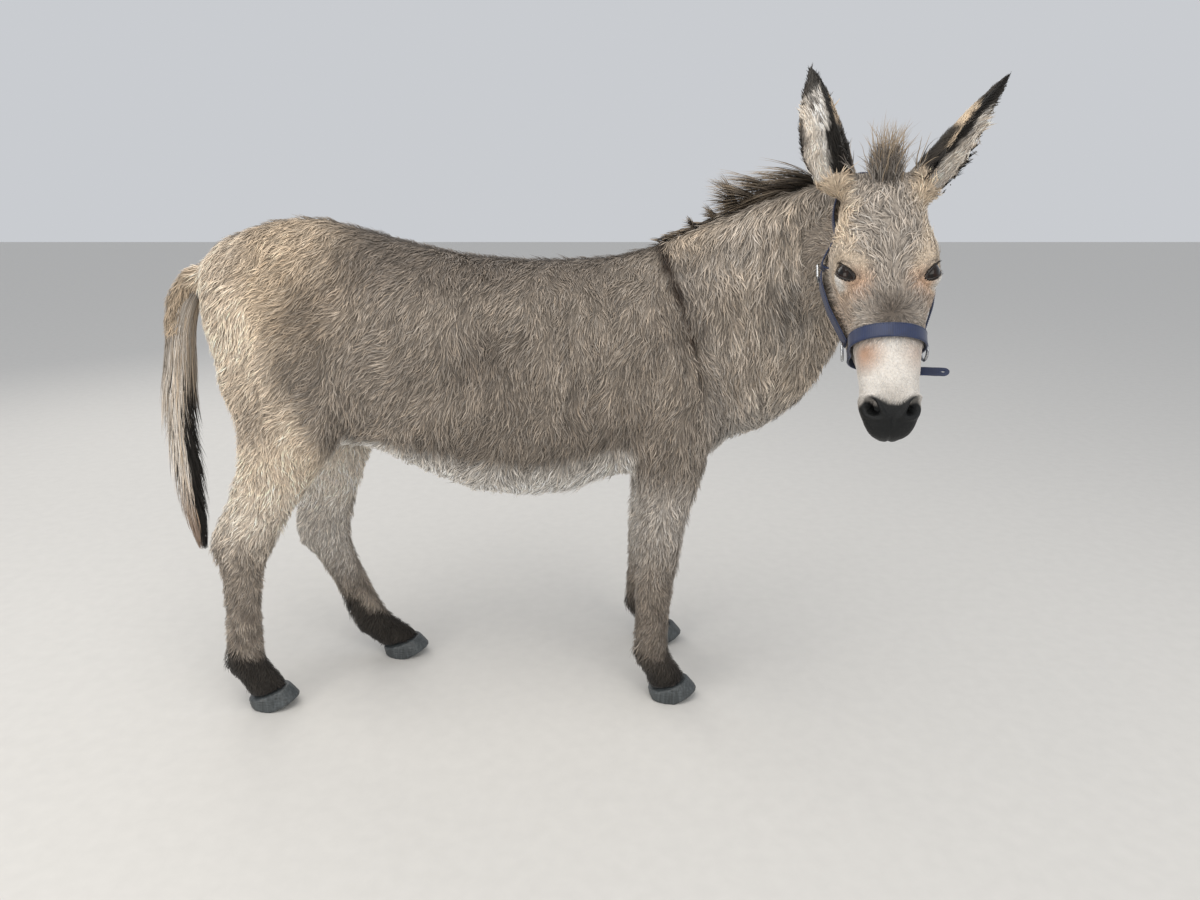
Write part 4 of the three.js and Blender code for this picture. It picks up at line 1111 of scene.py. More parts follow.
def tufts(name, chosen, share, charts, seed):
    """A coat piece: tufts that lie along the skin from their roots."""
    rng = np.random.default_rng(seed)
    root = at_roots(skin["shell"].co, chosen, share)
    n = unit(at_roots(skin["normal"], chosen, share))
    lie = flat(at_roots(skin["lie"], chosen, share), n)
    length, width, lift = (at_roots(skin[key], chosen, share) for key in ("length", "width", "lift"))
    tone = at_roots(skin["tone"], chosen, share)
    head = at_roots(skin["weight"][:, HEAD], chosen, share)
    count = len(root)
    q = into(ON_HEAD, root)
    brow = head * smooth(0.24, 0.17, q[:, 0]) * smooth(-0.06, -0.02, q[:, 2])
    muzzle = head * smooth(0.29, 0.32, q[:, 0])
    turn = 0.30 * waves(root, 0.075, 31) + 0.20 * waves(root, 0.028, 32) + rng.normal(0, 0.16, count)
    turn = turn * (1 + 0.5 * head + 0.6 * brow - 0.9 * muzzle)
    across = np.cross(n, lie)
    way = lie * np.cos(turn)[:, None] + across * np.sin(turn)[:, None]
    length = length * rng.uniform(0.72, 1.25, count) * (1 + 0.15 * waves(root, 0.04, 33))
    clump = waves(root, 0.018, 34)
    lift = lift * (1 + 0.45 * clump) * rng.uniform(0.55, 1.45, count)
    curl = (0.10 * waves(root, 0.03, 35) + rng.normal(0, 0.05, count)) * length
    side = np.cross(n, way)
    mid, n1 = onto_skin(root + way * (0.48 * length)[:, None] + side * curl[:, None])
    tip, n2 = onto_skin(root + way * length[:, None])
    # Where a thin edge ends under a tuft, it runs straight on
    past = (n1 * n).sum(1) < 0.35
    mid[past], n1[past] = (root + way * (0.48 * length)[:, None])[past], n[past]
    past = (n2 * n).sum(1) < 0.35
    tip[past], n2[past] = (mid + (mid - root) * 1.05)[past], n1[past]
    mid = mid + n1 * (lift * 0.75)[:, None]
    tip = tip + n2 * (lift * rng.uniform(0.5, 1.6, count))[:, None]
    paths = np.stack([root - n * 0.0012, mid, tip], 1)
    ups = np.stack([n, unit(n1 + n), unit(n2 + n)], 1)
    width = width * rng.uniform(0.75, 1.3, count)
    half = np.stack([width * 0.50, width * 0.42], 1)
    thick = half * 0.55
    spread = 0.27 + 0.04 * head + 0.05 * brow - 0.26 * muzzle
    bright = np.clip(1 + 0.12 * clump * (1 - muzzle) + rng.normal(0, 1, count) * spread, 0.45, 1.7)[:, None]
    warm = 1 + rng.normal(0, 0.02, count)[:, None] * np.array((1.0, 0.0, -1.2))
    tone = tone * bright * warm
    light = tone.mean(1, keepdims=True)
    tips = tone * (1.20 + 0.24 * brow - 0.16 * muzzle)[:, None] + 0.02 * light
    # The roots are darkened with painted shade, down in the coat among the tufts
    root_shade = (0.47 - 0.15 * brow + 0.45 * muzzle)[:, None]
    tones = np.stack([tone * root_shade, tone * (0.94 + 0.05 * muzzle)[:, None], tips], 1)
    places = charts.uv(charts.key[np.searchsorted(charts.faces, chosen)], root)
    return strands(name, paths, half, thick, ups, tones, places, TUFT_PATCH)


COAT_PIECES = {  # name: (the parts it covers, which side, which end)
    "coat_head_right": ((HEAD,), -1, 0), "coat_head_left": ((HEAD,), 1, 0), "coat_ears": ((EAR,), 0, 0),
    "coat_neck": ((NECK,), 0, 0), "coat_trunk_rear_right": ((TRUNK, DOCK), -1, -1),
    "coat_trunk_rear_left": ((TRUNK, DOCK), 1, -1), "coat_trunk_fore_right": ((TRUNK,), -1, 1),
    "coat_trunk_fore_left": ((TRUNK,), 1, 1), "coat_hindleg_right": ((HINDS,), -1, 0),
    "coat_hindleg_left": ((HINDS,), 1, 0), "coat_foreleg_right": ((FORES,), -1, 0),
    "coat_foreleg_left": ((FORES,), 1, 0),
}


class DONKEY_OT_coat(bpy.types.Operator):
    """Grows the coat as solid tufts over the skin, in pieces that each have their own unwrap"""

    bl_idname = "donkey.coat"
    bl_label = "Coat"

    def execute(self, context):
        shell = skin["shell"]
        corner = shell.co[shell.triangles]
        centre = corner.mean(1)
        normal = unit(np.cross(corner[:, 1] - corner[:, 0], corner[:, 2] - corner[:, 0]))
        part = skin["part"][shell.triangles[:, 0]]
        names = skin["names"][shell.triangles[:, 0]]
        shut = (part == DOCK) & (centre[:, 2] < DOCK_BARE_FROM)
        for side in SIDES.values():
            q = into(eye_frame(side), centre)
            inside = outside_slit(q, side) < 0.0012
            shut |= inside & (q[:, 0] > 0) & (np.linalg.norm(q, axis=1) < 0.035)
        q = into(ON_HEAD, centre)
        skin["shut"] = shut  # where no tuft may root
        look = hair_material("Hair, soft winter coat", 0.75, 0.15)
        seed = settings("coat").seed
        for i, (name, (parts, side, end)) in enumerate(COAT_PIECES.items()):
            of = np.isin(part, parts)
            if side and HEAD in parts:
                of &= (q[:, 1] * side > 0)
            elif side:
                of &= ((centre[:, 1] - MIDDLE) * side > 0)
            if end:
                of &= ((centre[:, 0] - COAT_SPLIT) * end > 0)
            faces = np.flatnonzero(of)
            charts = Charts(corner[faces], normal[faces], names[faces])
            charts.faces = faces
            chosen, share = rooted(faces, np.random.default_rng(seed + i))
            piece = tufts(name, chosen, share, charts, seed + 100 + i)
            finished(piece, "coat", material=look, smooth_faces=False)
        return {"FINISHED"}


# ---- Eyes ----


def eye_material():
    """Cornea over a dark iris: wet, so it gives a sharp bright glint."""
    made, tree = material("Cornea, wet, over the iris")
    tone = node(tree, "ShaderNodeAttribute", attribute_name="Tone").outputs["Color"]
    place = node(tree, "ShaderNodeTexCoord").outputs["Object"]
    # Fibres of the iris, under a millimetre apart, drawn coarser to show
    fibre = node(tree, "ShaderNodeTexNoise", {"Vector": place, "Scale": 900.0}).outputs["Fac"]
    mottle = node(tree, "ShaderNodeMapRange", {"Value": fibre, 3: 0.7, 4: 1.3}).outputs[0]
    base = node(tree, "ShaderNodeMix", {"Factor": 1.0, 6: tone, 7: mottle}, data_type="RGBA",
                blend_type="MULTIPLY").outputs[2]
    surface(tree, node(tree, "ShaderNodeBsdfPrincipled", {
        "Base Color": base, "Roughness": 0.4, "IOR": 1.376, "Specular IOR Level": 0.05, "Coat Weight": 1.0,
        "Coat Roughness": 0.02, "Coat IOR": 1.376}))
    return made


class DONKEY_OT_eyes(bpy.types.Operator):
    """Sets the eyeballs between the lids, with their lashes"""

    bl_idname = "donkey.eyes"
    bl_label = "Eyes"

    def execute(self, context):
        c = shades()
        look = eye_material()
        for name, side in SIDES.items():
            space = eye_frame(side)
            vertices, faces = globe((0, 0, 0), EYE_RADIUS, 64, 48)
            p = np.array(vertices)
            gaze = unit(np.array((0.93, 0.16 * side, -0.02)))  # the iris looks a little down the face
            off = np.degrees(np.arccos(np.clip(unit(p) @ gaze, -1, 1)))
            bulge = 0.0009 * smooth(46, 20, off)
            p = p * (1 + bulge / EYE_RADIUS)[:, None]
            flatly = p - (p @ gaze)[:, None] * gaze
            pupil = np.hypot(flatly[:, 1] / 0.0078, flatly[:, 2] / 0.0042)
            tone = np.tile(c["iris"], (len(p), 1))
            tone = mix(tone, c["iris"] * 2.0, smooth(18, 36, off) * smooth(46, 38, off) * 0.6)
            tone = mix(tone, c["black"] * 0.2, smooth(1.15, 0.9, pupil))
            tone = mix(tone, c["black"] * 0.8, smooth(39, 44, off))
            tone = mix(tone, c["iris"] * 1.6, smooth(52, 60, off))
            mesh = new_mesh("eyeball_" + name, out_of(space, p), faces)
            paint(mesh, "Tone", tone)
            piece = shown(mesh, "eyeball_" + name)
            finished(piece, "eye", "eye_" + name, material=look)
        lid = lid_material()
        for name, mesh in zip(SIDES, rims):
            finished(shown(mesh, "lid_edge_" + name), "coat", material=lid)
        self.lashes(c)
        return {"FINISHED"}

    def lashes(self, c):
        rng = np.random.default_rng(5)
        paths, ups = [], []
        for side in SIDES.values():
            for count, low, high, reach, drop in LASHES:
                t = np.linspace(low, high, count) + rng.normal(0, 0.02, count)
                along, across = slit(t, side)
                out = np.sqrt((EYE_RADIUS + 0.0012) ** 2 - along ** 2 - across ** 2)
                root = np.stack([out, along, across], 1)
                sign = np.sign(drop) * -1
                long = reach * rng.uniform(0.7, 1.15, count)[:, None]
                way = unit(np.stack([np.full(count, 0.85), along * 18, np.full(count, 0.45 * sign)], 1))
                mid = root + way * long * 0.5
                tip = root + way * long + np.array((0, 0, -0.30 * sign)) * long
                space = eye_frame(side)
                paths.append(out_of(space, np.stack([root, mid, tip], 1)))
                ups.append(turned(space, np.tile((0.2, 0, sign), (count, 3, 1))))
        paths, ups = np.concatenate(paths), np.concatenate(ups)
        count = len(paths)
        half = np.tile((0.00035, 0.0003), (count, 1))
        tones = np.tile(c["black"] * 0.7, (count, 3, 1))
        grid = int(math.ceil(math.sqrt(count)))
        cell = np.stack(np.divmod(np.arange(count), grid), 1) / grid + 0.5 / grid
        piece = strands("lashes", paths, half, half, ups, tones, cell, 0.9 / grid)
        finished(piece, "hair", material=hair_material("Hair, stiff lashes", 0.45, 0.0), smooth_faces=False)


def lid_material():
    """Bare skin, creased and moist: a dark rim with a faint shine."""
    made, tree = material("Bare skin of the lids, moist")
    place = node(tree, "ShaderNodeTexCoord").outputs["Object"]
    # Creases under a millimetre apart, drawn at 1.4 mm to show
    grain = node(tree, "ShaderNodeTexNoise", {"Vector": place, "Scale": 700.0, "Detail": 3.0}).outputs["Fac"]
    base = ramp(tree, grain, (0.3, linear("#1b1614")), (0.7, linear("#37302c")))
    bump = node(tree, "ShaderNodeBump", {"Height": grain, "Strength": 0.4, "Distance": 0.0004}).outputs[0]
    surface(tree, node(tree, "ShaderNodeBsdfPrincipled",
                       {"Base Color": base, "Roughness": 0.35, "Normal": bump}))
    return made


# ---- Hooves ----


def horn_material(shade):
    """Horn, grown in rings: smooth and a little waxy, streaked down the wall and ringed round it."""
    made, tree = material("Hoof horn, ringed and worn")
    place = node(tree, "ShaderNodeTexCoord").outputs["Object"]
    split = node(tree, "ShaderNodeMapping", {"Vector": place, "Scale": (260.0, 260.0, 22.0)}).outputs[0]
    streak = node(tree, "ShaderNodeTexNoise", {"Vector": split, "Scale": 1.0, "Detail": 4.0}).outputs["Fac"]
    # Growth rings about 6 mm apart
    rings = node(tree, "ShaderNodeTexWave",
                 {"Vector": place, "Scale": 52.0, "Distortion": 2.5, "Detail": 2.0},
                 bands_direction="Z").outputs["Fac"]
    dark, light = (tuple(v * k for v in shade) for k in (0.55, 1.55))
    base = ramp(tree, streak, (0.32, dark), (0.55, tuple(shade)), (0.72, light))
    height = node(tree, "ShaderNodeMix", {0: 0.35, 2: rings, 3: streak}).outputs[0]
    bump = node(tree, "ShaderNodeBump", {"Height": height, "Strength": 0.45, "Distance": 0.0011}).outputs[0]
    rough = node(tree, "ShaderNodeMapRange", {"Value": streak, 3: 0.34, 4: 0.58}).outputs[0]
    surface(tree, node(tree, "ShaderNodeBsdfPrincipled", {
        "Base Color": base, "Roughness": rough, "IOR": 1.54, "Normal": bump}))
    return made


class DONKEY_OT_hooves(bpy.types.Operator):
    """Rounds the hooves, with their growth rings, and leans their walls in under the coronets"""

    bl_idname = "donkey.hooves"
    bl_label = "Hooves"

    def execute(self, context):
        look = horn_material(settings("colours").horn)
        for end in ("hind", "fore"):
            for side in SIDES:
                name = f"hoof_{end}_{side}"
                shell = Shell(remeshed([closed_node(name)], HOOF_GRAIN))
                shell.write(relax(shell.co, shell.edges, 7))
                co, n = shell.co, shell.normals()
                wall = smooth(0.75, 0.4, np.abs(n[:, 2]))
                slope = co[:, 2] + 0.35 * (co[:, 0] - co[:, 0].mean())
                ring = np.sin(slope / GROWTH_RING * math.tau) * 0.00035 * wall
                co = co + n * (ring + 0.0008)[:, None]
                tuck = 0.09 * smooth(0.022, 0.050, co[:, 2])  # the wall leans in under the coronet
                co[:, :2] += (co[:, :2].mean(0) - co[:, :2]) * tuck[:, None]
                co[:, 2] = np.maximum(co[:, 2], 0.0)
                shell.write(co)
                piece = shown(shell.mesh, "hoof_wall_" + end + "_" + side)
                finished(piece, "horn", name, material=look)
        return {"FINISHED"}


# ---- Mane, forelock and tail ----


def cells(count):
    grid = int(math.ceil(math.sqrt(count)))
    return np.stack(np.divmod(np.arange(count), grid), 1) / grid + 0.5 / grid, 0.9 / grid


def spine_of(name, axis, slices):
    """Middle of a node, slice by slice along an axis, from its low end to its high end."""
    co = np.array(closed_node(name)[0])
    low, high = co[:, axis].min(), co[:, axis].max()
    points = []
    for s in np.linspace(low, high, slices):
        close = np.exp(-((co[:, axis] - s) / ((high - low) / slices)) ** 2)
        points.append((co * close[:, None]).sum(0) / close.sum())
    return np.array(points)


def along_path(points, t):
    """Points at shares t of a path's length."""
    step = np.linalg.norm(np.diff(points, axis=0), axis=1)
    at = np.concatenate([[0], np.cumsum(step)]) / step.sum()
    return np.stack([np.interp(t, at, points[:, k]) for k in range(3)], -1)


def lock_paths(root, ways, lengths, droop, stations, rng, wiggle):
    """Curved paths that start along `ways` and turn towards `droop`."""
    points = [root]
    way = unit(ways)
    step = lengths / (stations - 1)
    for _ in range(1, stations):
        points.append(points[-1] + way * step[:, None])
        way = unit(way + droop * (1.0 / stations) + rng.normal(0, wiggle, way.shape))
    return np.stack(points, 1)


class DONKEY_OT_mane(bpy.types.Operator):
    """Raises the mane from the crest of the neck, and the forelock between the ears"""

    bl_idname = "donkey.mane"
    bl_label = "Mane and forelock"

    def execute(self, context):
        c = shades()
        look = hair_material("Hair, coarse mane and tail", 0.5, 0.05)
        rng = np.random.default_rng(41)
        # Roots in three rows along the crest, from the poll to the withers
        crest = spine_of("mane", 0, 24)
        count = MANE_LOCKS
        t = rng.uniform(0.0, 1.0, count) ** 0.85
        line = along_path(crest, t)
        ahead, behind = (along_path(crest, np.clip(t + d, 0, 1)) for d in (0.02, -0.02))
        forward = unit(ahead - behind)
        across = unit(np.cross(forward, (0, 0, 1.0)))
        rise = unit(np.cross(across, forward))
        root, _ = onto_skin(line - rise * 0.02)
        root = root + across * rng.normal(0, 0.006, count)[:, None] - rise * 0.002
        # At the poll the locks are long and sweep back; towards the withers they are short
        poll = smooth(0.25, 0.8, t)
        long = (0.034 + 0.098 * poll) * rng.uniform(0.6, 1.15, count)
        ways = rise * (1.0 - 0.30 * poll)[:, None] - forward * (0.55 + 0.65 * poll)[:, None]
        ways = ways + across * (rng.normal(0, 0.20, count) + 0.15)[:, None]
        droop = -forward * 1.9 - np.array((0, 0, 0.5)) * poll[:, None]
        paths = lock_paths(root, ways, long, droop, 6, rng, 0.05)
        dark = np.where(rng.uniform(size=count)[:, None] < 0.30, c["stripe"] * 1.3, c["black"])
        is_tan = rng.uniform(size=count) < 0.50 + 0.25 * poll
        tips = np.where(is_tan[:, None], c["tan"] * 0.70, dark * 1.3)
        grade = np.linspace(0, 1, 6) ** 2.0
        tones = dark[:, None] * (1 - grade[None, :, None]) + tips[:, None] * grade[None, :, None]
        half = np.outer(rng.uniform(0.0007, 0.0018, count), (0.9, 1.0, 0.9, 0.75, 0.5))
        ups = np.repeat(across[:, None] * 0.4 + rise[:, None], 6, 1)
        place, patch = cells(count)
        piece = strands("mane_locks", paths, half, half * 0.6, ups, tones, place, patch, 0.5)
        finished(piece, "hair", "mane", material=look, smooth_faces=False)

        # The forelock stands up and frays
        tries = FORELOCK_TRIES
        q = np.stack([
            rng.normal(0.002, 0.013, tries), rng.normal(0.0, 0.016, tries), np.full(tries, 0.01),
        ], 1)
        owner = [skin["tree"].find_nearest(v)[2] for v in out_of(ON_HEAD, q).tolist()]
        on_ear = skin["part"][skin["shell"].triangles[owner, 0]] == EAR
        q = q[~on_ear]
        count = len(q)
        root, n = onto_skin(out_of(ON_HEAD, q))
        splay = turned(ON_HEAD, (0, 1, 0)) * (into(ON_HEAD, root)[:, 1] * 8)[:, None]
        ways = n * 0.3 + (0, 0, 1.0) + rng.normal(0, 0.16, (count, 3)) + splay
        wisp = rng.uniform(size=count) < 0.16
        long = np.where(wisp, rng.uniform(0.075, 0.105, count), rng.uniform(0.030, 0.066, count))
        long = long * (1 - 0.35 * smooth(0.01, 0.03, np.abs(q[:, 1])))
        paths = lock_paths(root - n * 0.002, ways, long, np.array((0.0, 0.0, -0.35)), 6, rng, 0.16)
        middle = smooth(0.016, 0.004, np.abs(q[:, 1] - 0.002))
        dark = mix(c["shade"] * 0.8, c["silver"] * 0.75, rng.uniform(0, 1, count) * (1 - 0.7 * middle))
        dark = np.where(wisp[:, None], c["tan"] * 0.55, dark)
        tones = dark[:, None] * np.linspace(0.72, 1.08, 6)[None, :, None]
        half = np.outer(rng.uniform(0.0005, 0.0012, count), (1.0, 1.0, 0.85, 0.65, 0.4))
        ups = np.repeat(unit(rng.normal(size=(count, 3)) + turned(ON_HEAD, (0.4, 0, 1)) * 2)[:, None], 6, 1)
        place, patch = cells(count)
        piece = strands("forelock_locks", paths, half, half * 0.6, ups, tones, place, patch, 0.5)
        finished(piece, "hair", "forelock", material=look, smooth_faces=False)
        return {"FINISHED"}


class DONKEY_OT_tail(bpy.types.Operator):
    """Hangs the tail's long hair from the dock"""

    bl_idname = "donkey.tail"
    bl_label = "Tail"

    def execute(self, context):
        c = shades()
        rng = np.random.default_rng(43)
        dock = spine_of("tail_dock", 2, 14)[::-1]
        switch = spine_of("tail_switch", 2, 14)[::-1]
        core = np.concatenate([dock[2:-1], switch[1:-1], [switch[-1] * (1, 1, 0) + (0, 0, 0.306)]])
        for _ in range(6):  # no kink where the dock ends
            core[1:-1] = (core[:-2] + 2 * core[1:-1] + core[2:]) / 4
        count = TAIL_LOCKS
        t0 = 0.02 + 0.84 * rng.uniform(0.0, 1.0, count) ** 1.25
        turn = rng.uniform(0, math.tau, count)
        ring = np.stack([np.cos(turn), np.sin(turn), 0 * turn], 1)
        high = smooth(0.27, 0.22, t0)
        reach = rng.uniform(0.11, 0.30, count) + 0.08 * high
        reach = np.minimum(reach, 1.0 - t0 + rng.normal(0, 0.02, count))
        stations = 7
        s = np.linspace(0, 1, stations)
        at = t0[:, None] + reach[:, None] * s[None]
        middle = along_path(core, np.clip(at, 0, 1))
        stout = np.interp(at, (0, 0.12, 0.27, 0.42, 0.57, 0.72, 0.87, 1.0),
                          (0.023, 0.028, 0.031, 0.035, 0.041, 0.038, 0.028, 0.009))
        slim = stout * 0.72
        inner_end = np.interp(t0, (0, 0.25, 0.40, 0.90), (0.85, 0.70, 0.30, 0.10))[:, None]
        filling = smooth(0.22, 0.28, t0) * smooth(0.46, 0.38, t0)  # inside, just below the dock's end
        outer_end = (rng.uniform(0.35, 1.12, count) * (1 - 0.25 * filling) * (1 - high)
                     + rng.uniform(0.85, 1.15, count) * high)[:, None]
        out = inner_end + (outer_end - inner_end) * s[None] ** 0.8
        full = ring[:, None] * np.stack([stout, slim, 0 * slim], 2)
        paths = middle + full * out[..., None]
        phase = rng.uniform(0, math.tau, count)[:, None]
        sway = np.sin(phase + s[None] * rng.uniform(3, 8, count)[:, None])
        sway = sway * rng.uniform(0.3, 1.3, count)[:, None]
        paths = paths + np.cross(ring, (0, 0, 1.0))[:, None] * (0.0045 * sway * s[None])[..., None]
        x = ring[:, 0]
        # A black strip down the side that faces the thighs, wider towards the tail's end
        inner = smooth(0.0, 0.20, x + 0.12 * rng.normal(size=count) - 0.62 + 0.60 * t0)
        inner = inner * smooth(0.08, 0.20, t0)
        outer = mix(np.tile(c["pale"] * 0.90, (count, 1)), c["tan"], rng.uniform(0.0, 0.9, count))
        outer = mix(outer, c["shade"], 0.55 * smooth(0.20, 0.04, t0))
        base = mix(outer, c["black"], inner)
        grade = 0.80 * smooth(0.66, 0.95, at) * (1 - inner[:, None])
        tones = base[:, None] * (1 - grade[..., None]) + (c["rust"] * 0.45)[None, None] * grade[..., None]
        tones = tones * rng.uniform(0.68, 1.22, count)[:, None, None]
        tones = tones * np.array((0.55, 0.8, 0.95, 1.0, 1.05, 1.1, 1.15))[None, :, None]
        half = np.outer(rng.uniform(0.0007, 0.0015, count), (0.8, 1.0, 1.0, 0.9, 0.75, 0.45))
        ups = np.repeat(ring[:, None] + (0, 0, 0.1), stations, 1)
        place, patch = cells(count)
        look = hair_material("Hair, long tail", 0.5, 0.05)
        piece = strands("tail_locks", paths, half, half * 0.6, ups, tones, place, patch, 0.55)
        finished(piece, "hair", "tail_switch", material=look, smooth_faces=False)
        return {"FINISHED"}


# ---- Headcollar ----


def webbing_material(tack):
    """Nylon webbing, woven flat: a fine herringbone with bound edges that catches the light dully."""
    made, tree = material("Nylon webbing, woven")
    place = node(tree, "ShaderNodeUVMap", uv_map="Weave").outputs["UV"]
    # Weft ribs and warp yarns, about 1 mm apart, drawn at 3.2 mm and 2.1 mm to show
    ribs = node(tree, "ShaderNodeTexWave", {"Vector": place, "Scale": 98.0, "Distortion": 0.6},
                bands_direction="X").outputs["Fac"]
    yarns = node(tree, "ShaderNodeTexWave", {"Vector": place, "Scale": 150.0, "Distortion": 0.4},
                 bands_direction="Y").outputs["Fac"]
    weave = node(tree, "ShaderNodeMix", {0: 0.45, 2: ribs, 3: yarns}).outputs[0]
    worn = node(tree, "ShaderNodeTexNoise", {"Vector": place, "Scale": 60.0, "Detail": 3.0}).outputs["Fac"]
    shade = tuple(tack.webbing)
    light = tuple(v * 1.35 + 0.004 for v in shade)
    dark = tuple(v * 0.75 for v in shade)
    base = ramp(tree, weave, (0.15, dark), (0.55, shade), (0.95, light))
    fade = node(tree, "ShaderNodeMapRange", {"Value": worn, 1: 0.3, 2: 0.75, 3: 0.85, 4: 1.35}).outputs[0]
    base = node(tree, "ShaderNodeMix", {"Factor": 1.0, 6: base, 7: fade}, data_type="RGBA",
                blend_type="MULTIPLY").outputs[2]
    bump = node(tree, "ShaderNodeBump", {"Height": weave, "Strength": 0.3, "Distance": 0.0004}).outputs[0]
    surface(tree, node(tree, "ShaderNodeBsdfPrincipled", {
        "Base Color": base, "Roughness": 0.42, "IOR": 1.53, "Sheen Weight": 0.2, "Normal": bump}))
    return made


def metal_material(tack):
    """Steel, nickel plated and tumbled: bright, with soft scratches that blur what it mirrors."""
    made, tree = material("Steel, nickel plated")
    place = node(tree, "ShaderNodeTexCoord").outputs["Object"]
    # Scratches and tarnish in patches of about 2.5 mm
    worn = node(tree, "ShaderNodeTexNoise", {"Vector": place, "Scale": 420.0, "Detail": 4.0}).outputs["Fac"]
    dark = tuple(v * 0.7 for v in tack.metal)
    base = ramp(tree, worn, (0.3, dark), (0.6, tuple(tack.metal)))
    rough = node(tree, "ShaderNodeMapRange", {"Value": worn, 3: 0.16, 4: 0.38}).outputs[0]
    surface(tree, node(tree, "ShaderNodeBsdfPrincipled",
                       {"Base Color": base, "Metallic": 1.0, "Roughness": rough}))
    return made


def thread_material(tack):
    """Polyester thread, twisted: a slightly lighter, silkier blue than the webbing's."""
    made, tree = material("Polyester thread, twisted")
    place = node(tree, "ShaderNodeTexCoord").outputs["Object"]
    # Twists about 1 mm apart
    twist = node(tree, "ShaderNodeTexNoise", {"Vector": place, "Scale": 900.0}).outputs["Fac"]
    base = ramp(tree, twist, (0.3, tuple(v * 0.7 for v in tack.thread)), (0.7, tuple(tack.thread)))
    surface(tree, node(tree, "ShaderNodeBsdfPrincipled", {"Base Color": base, "Roughness": 0.5}))
    return made


def reaches(name, starts, ways):
    """How far each ray runs before it meets a node; a ray that misses takes its value from its neighbours."""
    tree = BVHTree.FromPolygons(*closed_node(name))
    far = np.full(len(starts), np.nan)
    for i, (start, way) in enumerate(zip(starts, ways)):
        place = tree.ray_cast(Vector(start), Vector(way))[0]
        if place:
            far[i] = (place - Vector(start)).length
    met = ~np.isnan(far)
    return np.interp(np.arange(len(far)), np.flatnonzero(met), far[met])


def evened(values, rounds, is_closed=False):
    """Values along a path, each moved half of the way to its neighbours' mean, `rounds` times."""
    for _ in range(rounds):
        if is_closed:
            values = (values + (np.roll(values, 1) + np.roll(values, -1)) / 2) / 2
        else:
            values[1:-1] = (values[1:-1] + (values[:-2] + values[2:]) / 2) / 2
    return values


def band(name, path, outward, across, is_closed, look, nodes):
    """A strap swept along its outer face's middle line, with thicker, rounded edges."""
    width, thickness = settings("tack").width, settings("tack").thickness
    profile = [(-0.5, 0.0), (-0.49, 0.30), (-0.455, 0.46), (-0.40, 0.5), (-0.2, 0.47), (0, 0.46),
               (0.2, 0.47), (0.40, 0.5), (0.455, 0.46), (0.49, 0.30), (0.5, 0.0), (0.49, -0.30),
               (0.455, -0.46), (0.40, -0.5), (0, -0.5), (-0.40, -0.5), (-0.455, -0.46), (-0.49, -0.30)]
    profile = np.array(profile) * (width, thickness)
    count, around = len(path), len(profile)
    rings = path[:, None] + across[:, None] * profile[None, :, :1] + outward[:, None] * (
        profile[None, :, 1:] - thickness / 2)
    vertices = rings.reshape(-1, 3).tolist()
    faces = []
    step = np.linalg.norm(np.roll(path, -1, 0) - path, axis=1)
    length = np.concatenate([[0], np.cumsum(step)])
    weave = []
    side = np.concatenate([[0], np.cumsum(np.linalg.norm(np.diff(profile, axis=0), axis=1))])
    for i in range(count if is_closed else count - 1):
        j = (i + 1) % count
        for k in range(around):
            m = (k + 1) % around
            faces.append([i * around + k, i * around + m, j * around + m, j * around + k])
            a, b = length[i], length[i + 1]
            u, v = side[k], side[k + 1] if k + 1 < around else side[-1] + thickness * 0.3
            weave.append([(a, u), (a, v), (b, v), (b, u)])
    if not is_closed:
        for row, order in ((0, -1), (count - 1, 1)):
            ring = [row * around + k for k in range(around)][::order]
            faces.append(ring)
            weave.append([tuple(profile[k % around]) for k in ring])
    centre = rings.mean(1)
    a, b = rings[0, 1] - centre[0], rings[0, 2] - centre[0]
    if np.dot(np.cross(b - a, rings[1, 1] - rings[0, 1]), outward[0]) > 0:
        faces = [f[::-1] for f in faces]
        weave = [w[::-1] for w in weave]
    mesh = new_mesh(name, vertices, faces)
    layer = mesh.uv_layers.new(name="Weave")
    layer.data.foreach_set("uv", np.array([c for face in weave for c in face], np.float32).ravel())
    finished(shown(mesh, name), "webbing", *nodes, material=look)


def stitches(name, path, outward, across, thread):
    """A row of stitches along each edge, which stand a little proud of the webbing."""
    parts = []
    step = np.linalg.norm(np.diff(path, axis=0), axis=1)
    share = np.concatenate([[0], np.cumsum(step)])
    row = settings("tack").width * STITCH_ROW

    def between(values, at):
        return np.array([np.interp(at, share, values[:, k]) for k in range(3)])

    for offset in (-row, row):
        for s in np.arange(STITCH, step.sum() - STITCH, STITCH):
            rings = []
            for d, fat, rise in STITCH_SHAPE:
                at = s + d * STITCH
                o, a = unit(between(outward, at)), unit(between(across, at))
                p = between(path, at) + a * offset
                for k in range(6):
                    angle = math.tau * k / 6
                    rings.append(p + o * (rise + fat * math.cos(angle)) + a * fat * math.sin(angle))
            faces = [[i * 6 + k, i * 6 + (k + 1) % 6, (i + 1) * 6 + (k + 1) % 6, (i + 1) * 6 + k]
                     for i in range(2) for k in range(6)] + [list(range(6))[::-1], list(range(12, 18))]
            parts.append((rings, faces))
    made = new_mesh(name, *joined(parts))
    bm = bmesh.new()
    bm.from_mesh(made)
    bmesh.ops.recalc_face_normals(bm, faces=bm.faces)
    bm.to_mesh(made)
    bm.free()
    finished(shown(made, name), "webbing", material=thread)


